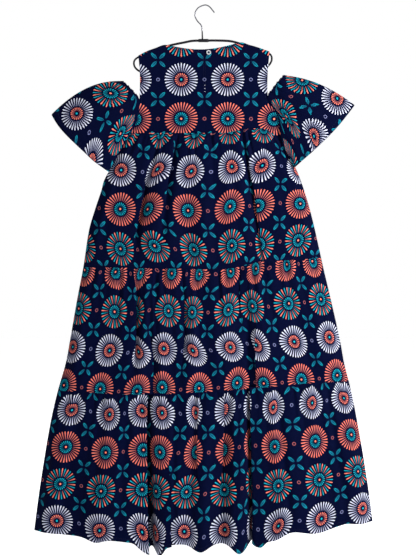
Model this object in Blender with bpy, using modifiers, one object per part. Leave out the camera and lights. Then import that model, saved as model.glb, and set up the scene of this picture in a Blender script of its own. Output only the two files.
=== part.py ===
"""A long tiered dress hanging from a slim hanger, seen from its back.

Metres, +Z up. The origin is where the hook's wire bears on a rail, so heights are given
as a drop below it. X runs across the dress and -Y is the side of its back.
"""

from collections import namedtuple
import math

import bmesh
import bpy
from mathutils import Vector

# Cloth and sewing
WALL = 0.0012
SHARPEST_MITER = 0.55
SEAM_GAP = 0.0003
TIER_SEAM_GAP = 0.0007
SIDE_ROLL = 0.0035
ROLL_REACH = 0.0025
LENS_POWER = 2.6

# The dress in sections from the shoulders to the hem: where its left and right edges
# lie, and how far its back and front stand out from the middle plane
Section = namedtuple("Section", "drop left right back front")
SECTIONS = (
    Section(0.131, -0.1895, 0.1853, 0.0070, 0.0070),
    Section(0.198, -0.1838, 0.1796, 0.0100, 0.0110),
    Section(0.262, -0.1847, 0.1800, 0.0125, 0.0140),
    Section(0.283, -0.1862, 0.1867, 0.0135, 0.0150),
    Section(0.308, -0.1895, 0.2075, 0.0145, 0.0160),
    Section(0.335, -0.2038, 0.2155, 0.0155, 0.0170),
    Section(0.367, -0.2237, 0.2195, 0.0170, 0.0185),
    Section(0.411, -0.2423, 0.2366, 0.0210, 0.0230),
    Section(0.471, -0.2722, 0.2636, 0.0250, 0.0270),
    Section(0.500, -0.2870, 0.2750, 0.0265, 0.0285),
    Section(0.525, -0.2935, 0.2836, 0.0280, 0.0300),
    Section(0.582, -0.3125, 0.3007, 0.0300, 0.0320),
    Section(0.639, -0.3290, 0.3149, 0.0310, 0.0330),
    Section(0.742, -0.3449, 0.3377, 0.0330, 0.0350),
    Section(0.839, -0.3634, 0.3605, 0.0380, 0.0400),
    Section(0.953, -0.3833, 0.3862, 0.0420, 0.0440),
    Section(1.020, -0.3960, 0.3985, 0.0440, 0.0460),
    Section(1.095, -0.4175, 0.4175, 0.0460, 0.0480),
    Section(1.181, -0.4375, 0.4346, 0.0500, 0.0520),
    Section(1.295, -0.4574, 0.4546, 0.0550, 0.0560),
    Section(1.409, -0.4745, 0.4717, 0.0580, 0.0600),
    Section(1.510, -0.4870, 0.4840, 0.0600, 0.0620),
)

# Seams and hem: the drop at each share of the width, from the left edge to the right
Level = namedtuple("Level", "share drop")
SEAMS = {
    "yoke back": (
        Level(0.00, 0.3665), Level(0.04, 0.3643), Level(0.64, 0.3643), Level(0.70, 0.3586),
        Level(0.80, 0.3521), Level(0.90, 0.3530), Level(0.94, 0.3650), Level(0.975, 0.3790),
        Level(1.00, 0.3815),
    ),
    "yoke front": (
        Level(0.00, 0.3665), Level(0.10, 0.3625), Level(0.50, 0.3600), Level(0.88, 0.3620),
        Level(0.96, 0.3780), Level(1.00, 0.3815),
    ),
    "tier 1 back": (
        Level(0.00, 0.7448), Level(0.41, 0.7505), Level(0.59, 0.7505), Level(0.67, 0.7420),
        Level(0.75, 0.7320), Level(1.00, 0.7192),
    ),
    "tier 1 front": (
        Level(0.00, 0.7448), Level(0.30, 0.7430), Level(0.60, 0.7380), Level(1.00, 0.7192),
    ),
    "tier 2 back": (
        Level(0.00, 1.0968), Level(0.28, 1.1054), Level(0.50, 1.0971), Level(0.70, 1.0854),
        Level(0.81, 1.0769), Level(1.00, 1.0698),
    ),
    "tier 2 front": (
        Level(0.00, 1.0968), Level(0.35, 1.0990), Level(0.65, 1.0890), Level(1.00, 1.0698),
    ),
    "hem back": (
        Level(0.00, 1.4943), Level(0.10, 1.5020), Level(0.23, 1.5122), Level(0.347, 1.5250),
        Level(0.43, 1.5220), Level(0.55, 1.5210), Level(0.643, 1.5110), Level(0.70, 1.5150),
        Level(0.755, 1.4900), Level(0.83, 1.4955), Level(0.917, 1.4720), Level(0.96, 1.4725),
        Level(1.00, 1.4685),
    ),
    "hem front": (
        Level(0.00, 1.4930), Level(0.20, 1.5060), Level(0.50, 1.5180), Level(0.70, 1.5020),
        Level(0.755, 1.4870), Level(0.83, 1.4900), Level(0.917, 1.4690), Level(1.00, 1.4680),
    ),
}

# Yoke: the shoulder line, the neckline's sag between the neck points, and the slit
SHOULDERS = (
    Level(0.000, 0.1420), Level(0.069, 0.1292), Level(0.131, 0.1207), Level(0.203, 0.1115),
    Level(0.785, 0.1044), Level(0.842, 0.1110), Level(0.903, 0.1175), Level(1.000, 0.1306),
)
NECK_LEFT = 0.203
NECK_RIGHT = 0.785
NECK_SAG = {"back": 0.0195, "front": 0.0750}
NECK_POWER = {"back": 1.4, "front": 2.6}
SHOULDER_RISE = 0.0050
SHOULDER_BLEND = 0.03
SLIT_SHARE = 0.504
SLIT_HALF_SHARE = 0.0017
SLIT_END = 0.477
YOKE_COLUMNS = (
    0.0, 0.03, 0.08, 0.14, 0.191, NECK_LEFT, 0.228, 0.27, 0.33, 0.39, 0.45,
    0.55, 0.61, 0.67, 0.73, 0.76, NECK_RIGHT, 0.797, 0.85, 0.91, 0.96, 1.0,
)
YOKE_ROWS = (0.0, 0.005, 0.014, 0.035, 0.11, 0.23, 0.35, SLIT_END, 0.62, 0.77, 0.90, 1.0)
ARMHOLE_STAND = (
    Level(0.00, 0.0060), Level(0.30, 0.0078), Level(0.62, 0.0085), Level(0.80, 0.0065),
    Level(0.93, 0.0030), Level(1.00, 0.0008),
)

# Tiers: gathers across each panel, how far they stand, and how far down they run
Tier = namedtuple("Tier", "name above below gathers stand reach swell soft_folds soft_stand")
TIERS = (
    Tier("tier_1", "yoke", "tier 1", 15, 0.0050, 0.090, 0.0035, 5, 0.0060),
    Tier("tier_2", "tier 1", "tier 2", 20, 0.0055, 0.095, 0.0040, 6, 0.0080),
    Tier("tier_3", "tier 2", "hem", 24, 0.0055, 0.105, 0.0040, 7, 0.0130),
)
GATHER_RISE = 0.007
GATHERS_KEPT = 0.15
GATHER_UNEVENNESS = 0.28
GATHER_TURN = 2.4
GATHER_HEIGHT = 0.72
GATHER_HEIGHT_TURN = 1.9
GATHER_ROUNDNESS = 1.4
SWELL_KEPT = 0.4
SOFT_UNEVENNESS = 0.22
SOFT_TURN = 1.7
SOFT_FULL = 0.7
EDGE_CALM = 0.030
PHASES = {"back": 0.6, "front": 2.3}
SIDE_COLUMNS = (0.0, 0.0015, 0.0060)
GATHER_COLUMNS = (0.0, 0.5)
CROWDED = 0.0012
HELD_LENGTH = 0.030
TIER_ROWS = {
    "tier_1": (0.0, 0.035, 0.12, 0.50, 0.92, 1.0),
    "tier_2": (0.0, 0.035, 0.12, 0.50, 0.92, 1.0),
    "tier_3": (0.0, 0.025, 0.09, 0.26, 0.52, 0.80, 1.0),
}

# Deep folds: a valley at a share of the width, its half width, its depth at the top,
# middle and bottom of the tier, and how far it drifts sideways on its way down
Fold = namedtuple("Fold", "place half_width top middle bottom drift")
FOLDS = {
    "tier_1_back": (
        Fold(0.218, 0.020, 0.0, 0.0070, 0.0, 0.0),
        Fold(0.330, 0.018, 0.0, 0.0050, 0.0, 0.0),
        Fold(0.746, 0.018, 0.0, 0.0070, 0.0, 0.0),
    ),
    "tier_1_front": (
        Fold(0.300, 0.020, 0.0, 0.0070, 0.0, 0.0),
        Fold(0.640, 0.018, 0.0, 0.0060, 0.0, 0.0),
    ),
    "tier_2_back": (
        Fold(0.228, 0.016, 0.0, 0.0110, 0.0, 0.026),
        Fold(0.283, 0.013, 0.0, 0.0100, 0.0060, 0.028),
        Fold(0.420, 0.018, 0.0, 0.0070, 0.0, 0.0),
        Fold(0.672, 0.015, 0.0, 0.0100, 0.0060, -0.020),
    ),
    "tier_2_front": (
        Fold(0.350, 0.016, 0.0, 0.0110, 0.0050, 0.010),
        Fold(0.610, 0.016, 0.0, 0.0100, 0.0, -0.010),
        Fold(0.790, 0.018, 0.0, 0.0070, 0.0, 0.0),
    ),
    "tier_3_back": (
        Fold(0.311, 0.013, 0.0060, 0.0220, 0.0320, 0.036),
        Fold(0.570, 0.020, 0.0, 0.0110, 0.0120, -0.020),
        Fold(0.652, 0.013, 0.0060, 0.0200, 0.0280, -0.010),
    ),
    "tier_3_front": (
        Fold(0.360, 0.014, 0.0050, 0.0190, 0.0270, 0.020),
        Fold(0.540, 0.018, 0.0, 0.0120, 0.0120, 0.0),
        Fold(0.720, 0.014, 0.0, 0.0160, 0.0250, -0.020),
    ),
}
FOLD_COLUMNS = (-1.9, -0.95, -0.30, 0.30, 0.95, 1.9)
FOLD_CLEAR = 2.2
DRIFT_REACH = 0.09

# Lobes of the hem between its folds: place, half width and how low each hangs
Lobe = namedtuple("Lobe", "place half_width hang")
LOBES = {
    "tier_3_back": (
        Lobe(0.185, 0.028, 0.011), Lobe(0.325, 0.017, 0.030), Lobe(0.372, 0.018, 0.030),
        Lobe(0.489, 0.030, 0.021), Lobe(0.604, 0.027, 0.033), Lobe(0.665, 0.013, 0.020),
    ),
    "tier_3_front": (
        Lobe(0.200, 0.035, 0.009), Lobe(0.345, 0.020, 0.018), Lobe(0.410, 0.022, 0.020),
        Lobe(0.490, 0.022, 0.010), Lobe(0.585, 0.030, 0.014), Lobe(0.675, 0.020, 0.018),
        Lobe(0.730, 0.022, 0.004),
    ),
}

# Sleeves: stations across each flattened bell, from the fold under the arm to the fold on
# top. Each has its place on the upper rim and on the hem, and there the distance of the
# middle of the bell towards the back and of its two layers from that middle
Station = namedtuple("Station", "rim_x rim_drop rim_back rim_half hem_x hem_drop hem_back hem_half")
SLEEVES = {
    "sleeve_left": (
        Station(-0.2120, 0.3680, 0.0125, 0.0060, -0.2807, 0.4712, 0.0120, 0.0060),
        Station(-0.1950, 0.3380, 0.0012, 0.0130, -0.3149, 0.4441, 0.0060, 0.0190),
        Station(-0.1870, 0.3020, 0.0000, 0.0106, -0.3434, 0.4171, 0.0030, 0.0220),
        Station(-0.1845, 0.2689, 0.0000, 0.0106, -0.3691, 0.3914, 0.0015, 0.0230),
        Station(-0.2024, 0.2446, 0.0000, 0.0125, -0.3947, 0.3629, 0.0000, 0.0230),
        Station(-0.2209, 0.2261, 0.0000, 0.0110, -0.4161, 0.3344, 0.0000, 0.0170),
        Station(-0.2323, 0.2161, 0.0000, 0.0080, -0.4332, 0.3073, 0.0000, 0.0080),
    ),
    "sleeve_right": (
        Station(0.2270, 0.3990, 0.0125, 0.0060, 0.2600, 0.4590, 0.0120, 0.0060),
        Station(0.2180, 0.3544, 0.0012, 0.0130, 0.2807, 0.4399, 0.0060, 0.0190),
        Station(0.2050, 0.3088, 0.0000, 0.0106, 0.3064, 0.4171, 0.0030, 0.0220),
        Station(0.1795, 0.2640, 0.0000, 0.0106, 0.3320, 0.3928, 0.0015, 0.0230),
        Station(0.1952, 0.2347, 0.0000, 0.0125, 0.3605, 0.3643, 0.0000, 0.0230),
        Station(0.2109, 0.2147, 0.0000, 0.0110, 0.3919, 0.3287, 0.0000, 0.0170),
        Station(0.2252, 0.1990, 0.0000, 0.0080, 0.4275, 0.2831, 0.0000, 0.0080),
    ),
}
SLEEVE_TOP_BULGE = {"sleeve_left": 0.028, "sleeve_right": 0.018}
SLEEVE_ROUNDNESS = 0.75
SLEEVE_FULLNESS = 0.35
SLEEVE_COLUMNS = 36
SLEEVE_ROWS = (0.0, 0.07, 0.20, 0.42, 0.70, 1.0)
SLEEVE_GATHERS = 5
SLEEVE_GATHER_STAND = 0.0014
SLEEVE_GATHER_REACH = 0.16
OPEN_EDGE_FROM = 0.50
SLEEVE_BULGE_POWER = 1.5
UNDERARM_DETOUR = 0.030
UNDERARM_SHARPNESS = 3
UNDERARM_PLACE = 0.12
UNDERARM_SPREAD = 0.085

# Button and its loop, at the top of the slit
BUTTON_RADIUS = 0.0064
BUTTON_THICKNESS = 0.0024
BUTTON_STEPS = 20
BUTTON_SHARE = 0.537
BUTTON_BELOW_NECK = 0.0085
BUTTON_SEAT_REACH = 1.3
ButtonRow = namedtuple("ButtonRow", "radius height")
BUTTON_OUTLINE = (
    ButtonRow(0.55, 0.45), ButtonRow(0.70, 1.00), ButtonRow(0.90, 1.00),
    ButtonRow(1.00, 0.40), ButtonRow(1.00, -0.40), ButtonRow(0.85, -1.00),
)
LOOP_THREAD_RADIUS = 0.0006
LOOP_START = math.radians(215)
LOOP_END = math.radians(505)
LOOP_STEPS = 20

# Hanger: one bar from the block round both ends, thinner at its end loops
HOOK_WIRE_RADIUS = 0.0016
STEM_RADIUS = 0.0019
BAR_RADIUS = 0.0032
LOOP_BAR_SHARE = 0.66
BLOCK_LENGTH = 0.0280
BLOCK_DEPTH = 0.0090
BLOCK_HEIGHT = 0.0086
BLOCK_BEVEL = 0.0018
BLOCK_X = -0.0030
BLOCK_DROP = 0.0995
BarPoint = namedtuple("BarPoint", "x drop thickness")
BAR = (
    BarPoint(0.0700, 0.1008, 1.00), BarPoint(0.0960, 0.1065, 0.95),
    BarPoint(0.1240, 0.1165, 0.90), BarPoint(0.1510, 0.1245, 0.85),
    BarPoint(0.1725, 0.1305, 0.75), BarPoint(0.1850, 0.1370, LOOP_BAR_SHARE),
    BarPoint(0.1912, 0.1455, LOOP_BAR_SHARE), BarPoint(0.1905, 0.1585, LOOP_BAR_SHARE),
    BarPoint(0.1810, 0.1720, LOOP_BAR_SHARE), BarPoint(0.1620, 0.1800, 0.75),
    BarPoint(0.1200, 0.1855, 0.80), BarPoint(0.0000, 0.1900, 0.80),
    BarPoint(-0.1250, 0.1950, 0.80), BarPoint(-0.1640, 0.1945, 0.75),
    BarPoint(-0.1800, 0.1900, LOOP_BAR_SHARE), BarPoint(-0.1955, 0.1790, LOOP_BAR_SHARE),
    BarPoint(-0.2010, 0.1670, LOOP_BAR_SHARE), BarPoint(-0.1990, 0.1555, LOOP_BAR_SHARE),
    BarPoint(-0.1885, 0.1467, LOOP_BAR_SHARE), BarPoint(-0.1700, 0.1378, 0.75),
    BarPoint(-0.1400, 0.1265, 0.85), BarPoint(-0.1150, 0.1182, 0.90),
    BarPoint(-0.0925, 0.1118, 0.95), BarPoint(-0.0584, 0.1050, 1.00),
)
BAR_STEPS = 2
HookPoint = namedtuple("HookPoint", "x drop")
HOOK = (
    HookPoint(-0.0060, 0.0950), HookPoint(-0.0062, 0.0860), HookPoint(-0.0068, 0.0719),
    HookPoint(-0.0086, 0.0583), HookPoint(-0.0117, 0.0528), HookPoint(-0.0182, 0.0463),
    HookPoint(-0.0228, 0.0400), HookPoint(-0.0262, 0.0320), HookPoint(-0.0272, 0.0240),
    HookPoint(-0.0250, 0.0158), HookPoint(-0.0196, 0.0078), HookPoint(-0.0110, 0.0020),
    HookPoint(0.0000, -0.0016), HookPoint(0.0080, -0.0006), HookPoint(0.0150, 0.0038),
    HookPoint(0.0219, 0.0118), HookPoint(0.0282, 0.0198),
)
HOOK_STEPS = 2
STEM_TAPER_STEPS = 6
BAR_END_LENGTH = 0.02
BAR_END_RISE = 0.0002
BAR_END_FALL = 0.0012

# Colours, roughness and metallic value of each finish
Finish = namedtuple("Finish", "colour roughness metallic")
FINISHES = {
    "cloth": Finish((0.010, 0.012, 0.050, 1.0), 0.85, 0.0),
    "button": Finish((0.70, 0.71, 0.76, 1.0), 0.30, 0.0),
    "thread": Finish((0.012, 0.014, 0.060, 1.0), 0.80, 0.0),
    "hanger": Finish((0.012, 0.012, 0.014, 1.0), 0.38, 0.0),
    "wire": Finish((0.42, 0.42, 0.44, 1.0), 0.28, 1.0),
}


# Reading tables

def smooth(rows, at, column):
    """A smooth curve through one column of a table, read at a place in its first column."""
    if at <= rows[0][0]:
        return rows[0][column]
    if at >= rows[-1][0]:
        return rows[-1][column]
    last = len(rows) - 1
    i = max(k for k in range(last) if rows[k][0] <= at)

    def slope(k):
        low = max(k - 1, 0)
        high = min(k + 1, last)
        return (rows[high][column] - rows[low][column]) / (rows[high][0] - rows[low][0])

    span = rows[i + 1][0] - rows[i][0]
    p = (at - rows[i][0]) / span
    start = (2 * p**3 - 3 * p**2 + 1) * rows[i][column] + (p**3 - 2 * p**2 + p) * span * slope(i)
    end = (3 * p**2 - 2 * p**3) * rows[i + 1][column] + (p**3 - p**2) * span * slope(i + 1)
    return start + end


def straight(rows, at, column):
    """One column of a table, read in straight runs."""
    for first, second in zip(rows, rows[1:]):
        if at <= second[0]:
            share = max(0.0, (at - first[0]) / (second[0] - first[0]))
            return first[column] + (second[column] - first[column]) * share
    return rows[-1][column]


def mix(first, second, share):
    return first + (second - first) * share


def bell(distance):
    return math.exp(-distance * distance)


def step(low, high, value):
    """A soft step from 0 at low to 1 at high."""
    share = min(1.0, max(0.0, (value - low) / (high - low)))
    return share * share * (3 - 2 * share)


# Body of the dress

def half_depth(side, drop):
    return smooth(SECTIONS, drop, Section._fields.index(side))


def across(share, drop):
    """X at a share of the width."""
    return mix(smooth(SECTIONS, drop, 1), smooth(SECTIONS, drop, 2), share)


def lens(share):
    return 1 - abs(2 * share - 1) ** LENS_POWER


def inset(share, drop):
    """Distance from the nearer side edge."""
    width = across(1.0, drop) - across(0.0, drop)
    return min(share, 1 - share) * width


def body_stand(side, share, drop):
    """How far a tier's plain surface stands out from the middle plane."""
    rolled = SIDE_ROLL * (1 - math.exp(-inset(share, drop) / ROLL_REACH))
    return SEAM_GAP / 2 + rolled + (half_depth(side, drop) - SIDE_ROLL) * lens(share)


def gather_edges(count, phase):
    """Where the gathers of a panel meet, unevenly spaced across its width."""
    edges = [0.0]
    for k in range(1, count):
        edges.append((k + GATHER_UNEVENNESS * math.sin(GATHER_TURN * k + phase)) / count)
    return edges + [1.0]


def gather_wave(edges, phase, share):
    """0 where two gathers meet and up to 1 on top of a gather, some lower than others."""
    k = min(len(edges) - 2, max(i for i, edge in enumerate(edges) if edge <= share))
    local = (share - edges[k]) / (edges[k + 1] - edges[k])
    height = mix(GATHER_HEIGHT, 1.0, math.sin(GATHER_HEIGHT_TURN * k + phase))
    return height * max(0.0, math.sin(math.pi * local)) ** GATHER_ROUNDNESS


def soft_wave(count, phase, share):
    """Broad folds that the gathers run out into."""
    turn = count * share + SOFT_UNEVENNESS * math.sin(2 * math.pi * share * SOFT_TURN + phase)
    return 0.5 - 0.5 * math.cos(2 * math.pi * turn)


def with_seam_rows(shares, seam):
    """Columns in order, with one at each row of a seam and none crowding it."""
    rows = [level.share for level in seam]
    apart = [share for share in shares if min(abs(share - row) for row in rows) > CROWDED]
    return sorted(apart + rows)


def fold_depth(fold, down):
    return smooth(((0.0, fold.top), (0.5, fold.middle), (1.0, fold.bottom)), down, 1)


class TierPanel:
    """One side of one tier, as a surface over its width and its height."""

    def __init__(self, tier, side):
        self.tier = tier
        self.side = side
        self.name = f"{tier.name}_{side}"
        self.folds = FOLDS[self.name]
        self.phase = PHASES[side]
        self.edges = gather_edges(tier.gathers, self.phase)
        self.above = SEAMS[f"{tier.above} {side}"]
        self.below = SEAMS[f"{tier.below} {side}"]
        self.is_last = tier.below == "hem"
        self.facing = -1 if side == "back" else 1

    def columns(self):
        """Shares of the width that carry a column of points."""
        width = across(1.0, self.above[0].drop) - across(0.0, self.above[0].drop)
        rolled = [place / width for place in SIDE_COLUMNS]
        shares = rolled + [1 - share for share in rolled]
        for start, end in zip(self.edges, self.edges[1:]):
            shares += [mix(start, end, part) for part in GATHER_COLUMNS]
        for fold in self.folds:
            clear = FOLD_CLEAR * fold.half_width
            shares = [share for share in shares if abs(share - fold.place) > clear]
            shares += [fold.place + fold.half_width * part for part in FOLD_COLUMNS]
        if self.is_last:
            shares = with_seam_rows(shares, self.below)
        return with_seam_rows(shares, self.above)

    def drop(self, share, down):
        top = straight(self.above, share, 1) + TIER_SEAM_GAP / 2
        bottom = straight(self.below, share, 1)
        if not self.is_last:
            bottom -= TIER_SEAM_GAP / 2
        return mix(top, bottom, down)

    def lobes(self, share, down):
        """How far the hem's lobes hang below its even line."""
        rows = LOBES.get(self.name, ())
        hang = sum(lobe.hang * bell((share - lobe.place) / lobe.half_width) for lobe in rows)
        return hang * down**3

    def point(self, column, down):
        """The middle of the cloth at a column of the panel and a share of its height."""
        share = column
        for fold in self.folds:
            share += fold.drift * down * bell((column - fold.place) / DRIFT_REACH)
        drop = self.drop(share, down)
        below_seam = drop - self.drop(share, 0.0)
        above_seam = self.drop(share, 1.0) - drop
        held = 1.0 if self.is_last else step(0.0, HELD_LENGTH, above_seam)
        free = step(0.0, GATHER_RISE * 2, below_seam) * held
        edge = step(0.0, EDGE_CALM, inset(share, drop))
        tier = self.tier
        stand = body_stand(self.side, share, drop)
        run_out = math.exp(-below_seam / tier.reach)
        swell = tier.swell * (1 - math.exp(-below_seam / GATHER_RISE))
        swell *= mix(SWELL_KEPT, 1.0, run_out)
        gathers = tier.stand * gather_wave(self.edges, self.phase, column)
        gathers *= mix(GATHERS_KEPT, 1.0, run_out)
        soft = tier.soft_stand * soft_wave(tier.soft_folds, self.phase, column)
        soft *= step(0.0, SOFT_FULL, down)
        stand += (swell + gathers + soft) * free * edge
        for fold in self.folds:
            centre = fold.place + fold.drift * down
            stand -= fold_depth(fold, down) * bell((share - centre) / fold.half_width)
        drop += self.lobes(share, down)
        return Vector((across(share, drop), self.facing * stand, -drop))


class YokePanel:
    """The back or the front yoke: flat at the shoulders, open at the neck and armholes."""

    def __init__(self, side):
        self.side = side
        self.name = f"yoke_{side}"
        self.below = SEAMS[f"yoke {side}"]
        self.facing = -1 if side == "back" else 1

    def columns(self):
        middle = [SLIT_SHARE - SLIT_HALF_SHARE, SLIT_SHARE + SLIT_HALF_SHARE]
        if self.side == "front":
            middle = [0.5]
        return with_seam_rows(list(YOKE_COLUMNS) + middle, self.below)

    def top(self, share):
        """The drop of the shoulder seams and of the neckline between them."""
        drop = straight(SHOULDERS, share, 1)
        if NECK_LEFT < share < NECK_RIGHT:
            along = (share - NECK_LEFT) / (NECK_RIGHT - NECK_LEFT)
            drop += NECK_SAG[self.side] * math.sin(math.pi * along) ** NECK_POWER[self.side]
        return drop

    def on_shoulder(self, share):
        """1 on the shoulder seams and 0 along the open neck."""
        left = 1 - step(NECK_LEFT, NECK_LEFT + SHOULDER_BLEND, share)
        right = step(NECK_RIGHT - SHOULDER_BLEND, NECK_RIGHT, share)
        return max(left, right)

    def point(self, share, down):
        top = self.top(share)
        bottom = straight(self.below, share, 1) - TIER_SEAM_GAP / 2
        drop = mix(top, bottom, down)
        fallen = min(1.0, (drop - top) / SHOULDER_RISE)
        rounded = math.sqrt(max(0.0, 1 - (1 - fallen) ** 2))
        rise = mix(1.0, rounded, self.on_shoulder(share))
        edge = straight(ARMHOLE_STAND, down, 1)
        rolled = edge + SIDE_ROLL * (1 - math.exp(-inset(share, drop) / ROLL_REACH))
        rolled = min(rolled, max(edge, SIDE_ROLL))
        middle = half_depth(self.side, drop)
        stand = rolled + max(0.0, middle - rolled) * lens(share)
        return Vector((across(share, drop), self.facing * (SEAM_GAP / 2 + stand * rise), -drop))


# Making walls

def shell(panel, rows, columns, keep=None, flat=None, closed=False):
    """A closed wall of even thickness on a panel's surface.

    keep says which cells of the grid are cloth, and flat names the axis along which an
    edge's thickness may not lean, so that seams meet face to face.
    """
    wide = len(columns)
    high = len(rows)
    points = [[panel.point(column, down) for column in columns] for down in rows]
    builder = bmesh.new()
    bmesh.ops.create_grid(builder, x_segments=wide - 1, y_segments=high - 1, size=0.5)
    builder.verts.ensure_lookup_table()
    builder.faces.ensure_lookup_table()
    place = builder.verts.layers.int.new("place")
    for number, vertex in enumerate(builder.verts):
        vertex[place] = number
        row, column = divmod(number, wide)
        vertex.co = points[row][column]
    if keep:
        gone = [face for number, face in enumerate(builder.faces)
                if not keep(columns, rows, number % (wide - 1), number // (wide - 1))]
        bmesh.ops.delete(builder, geom=gone, context="FACES")
    if closed:
        ends = [vertex for vertex in builder.verts if vertex[place] % wide in (0, wide - 1)]
        bmesh.ops.remove_doubles(builder, verts=ends, dist=0.00001)
    made = bmesh.ops.extrude_face_region(builder, geom=builder.faces[:], use_keep_orig=True)
    inner = {item for item in made["geom"] if isinstance(item, bmesh.types.BMVert)}
    for vertex in builder.verts:
        row, column = divmod(vertex[place], wide)
        normal = wall_normal(points, row, column, closed, panel.facing)
        axis = flat(columns, rows, column, row) if flat else None
        if axis is not None:
            normal[axis] = 0.0
            normal.normalize()
        offset = WALL / 2 * miter(points, row, column, normal, closed)
        vertex.co = points[row][column] + normal * (-offset if vertex in inner else offset)
    bmesh.ops.recalc_face_normals(builder, faces=builder.faces[:])
    return builder


def neighbours(points, row, column, closed):
    """The points before and after one, along its row."""
    line = points[row]
    last = len(line) - 1
    if closed:
        before = line[column - 1] if column > 0 else line[last - 1]
        after = line[column + 1] if column < last else line[1]
    else:
        before = line[max(column - 1, 0)]
        after = line[min(column + 1, last)]
    return before, after


def wall_normal(points, row, column, closed, turn):
    """The outward normal of a surface at one of its points."""
    before, after = neighbours(points, row, column, closed)
    here = points[row][column]
    upper = points[max(row - 1, 0)][column]
    lower = points[min(row + 1, len(points) - 1)][column]
    down = (lower - upper).normalized()
    sides = [side for side in (here - before, after - here) if side.length > 1e-9]
    normal = Vector()
    for side in sides:
        normal += side.normalized().cross(down).normalized()
    return (normal * turn).normalized()


def miter(points, row, column, normal, closed):
    """How much further a corner's offset reaches so that the wall keeps its thickness."""
    before, after = neighbours(points, row, column, closed)
    here = points[row][column]
    steepest = 1.0
    for side in (here - before, after - here):
        if side.length > 1e-9:
            lean = abs(side.normalized().dot(normal))
            steepest = min(steepest, math.sqrt(max(0.0, 1 - lean * lean)))
    return 1 / max(steepest, SHARPEST_MITER)


def add_object(name, builder, material, collection):
    mesh = bpy.data.meshes.new(name)
    builder.to_mesh(mesh)
    builder.free()
    mesh.materials.append(material)
    made = bpy.data.objects.new(name, mesh)
    collection.objects.link(made)
    mesh.shade_smooth()
    return made


# Pieces

def tier_flat_axis(columns, rows, column, row):
    """Side seams face along Y and gathered seams along Z."""
    if column in (0, len(columns) - 1):
        return 1
    if row in (0, len(rows) - 1):
        return 2
    return None


def make_tiers(cloth, collection):
    for tier in TIERS:
        for side in ("back", "front"):
            panel = TierPanel(tier, side)
            builder = shell(panel, TIER_ROWS[tier.name], panel.columns(), flat=tier_flat_axis)
            add_object(panel.name, builder, cloth, collection)


def yoke_cell_is_cloth(columns, rows, column, row):
    """False in the slit, from the neckline down to its end."""
    width = columns[column + 1] - columns[column]
    in_slit = columns[column] < SLIT_SHARE < columns[column + 1] and width < 3 * SLIT_HALF_SHARE
    return not (in_slit and rows[row + 1] <= SLIT_END)


def make_yokes(cloth, collection):
    for side in ("back", "front"):
        panel = YokePanel(side)

        def flat_axis(columns, rows, column, row):
            if row == len(rows) - 1:
                return 2
            if row == 0 and panel.on_shoulder(columns[column]) > 0.5:
                return 1
            return None

        builder = shell(panel, YOKE_ROWS, panel.columns(), yoke_cell_is_cloth, flat_axis)
        add_object(panel.name, builder, cloth, collection)


class Sleeve:
    """A flattened bell, as a surface round its loop and from its upper rim to its hem."""

    def __init__(self, name):
        self.name = name
        self.stations = SLEEVES[name]
        self.bulge = SLEEVE_TOP_BULGE[name]
        self.facing = 1 if name == "sleeve_left" else -1

    def station(self, up, column):
        """One column of the stations, read at a share of the way up to the top fold."""
        rows = [(k / (len(self.stations) - 1), row[column]) for k, row in enumerate(self.stations)]
        return smooth(rows, up, 1)

    def point(self, round_share, down):
        angle = 2 * math.pi * round_share
        up = (1 - math.cos(angle)) / 2
        turned = math.copysign(abs(math.sin(angle)) ** SLEEVE_ROUNDNESS, math.sin(angle))
        rim = [self.station(up, column) for column in range(4)]
        hem = [self.station(up, column) for column in range(4, 8)]
        x, drop, back, half = (mix(a, b, down) for a, b in zip(rim, hem))
        belly = 4 * down * (1 - down)
        drop -= self.bulge * belly * up**SLEEVE_BULGE_POWER
        half *= 1 + SLEEVE_FULLNESS * belly
        if up > OPEN_EDGE_FROM:
            along = (up - OPEN_EDGE_FROM) / (1 - OPEN_EDGE_FROM)
            crumple = SLEEVE_GATHER_STAND * math.sin(2 * math.pi * SLEEVE_GATHERS * along)
            half += crumple * math.exp(-down / SLEEVE_GATHER_REACH)
        if turned < 0:
            detour = UNDERARM_DETOUR * bell((up - UNDERARM_PLACE) / UNDERARM_SPREAD)
            x -= self.facing * detour * (1 - down) * min(1.0, -turned * UNDERARM_SHARPNESS)
        return Vector((x, -(back + half * turned), -drop))


def make_sleeve(name, cloth, collection):
    sleeve = Sleeve(name)
    rounds = [k / SLEEVE_COLUMNS for k in range(SLEEVE_COLUMNS + 1)]
    builder = shell(sleeve, SLEEVE_ROWS, rounds, closed=True)
    add_object(name, builder, cloth, collection)


def make_button(material, collection):
    """A turned disc with a dished middle, its axis along Y."""
    yoke = YokePanel("back")
    top = yoke.top(BUTTON_SHARE)
    bottom = smooth(yoke.below, BUTTON_SHARE, 1)
    seat = yoke.point(BUTTON_SHARE, BUTTON_BELOW_NECK / (bottom - top))
    lowest = (BUTTON_BELOW_NECK + BUTTON_RADIUS * BUTTON_SEAT_REACH) / (bottom - top)
    seat.y = yoke.point(BUTTON_SHARE, lowest).y
    half = BUTTON_THICKNESS / 2
    middle = [(0.0, 0.0, half * BUTTON_OUTLINE[0].height)]
    outline = middle + [(BUTTON_RADIUS * row.radius, 0.0, half * row.height) for row in BUTTON_OUTLINE]
    outline.append((0.0, 0.0, -half))
    mesh = bpy.data.meshes.new("button")
    mesh.from_pydata(outline, [(k, k + 1) for k in range(len(outline) - 1)], [])
    mesh.materials.append(material)
    button = bpy.data.objects.new("button", mesh)
    collection.objects.link(button)
    turn = button.modifiers.new("turned profile", "SCREW")
    turn.steps = BUTTON_STEPS
    turn.render_steps = BUTTON_STEPS
    turn.use_merge_vertices = True
    turn.merge_threshold = 0.00005
    button.rotation_euler = (math.pi / 2, 0.0, 0.0)
    button.location = seat + Vector((0.0, -(WALL / 2 + SEAM_GAP + half), 0.0))
    return button.location


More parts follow.
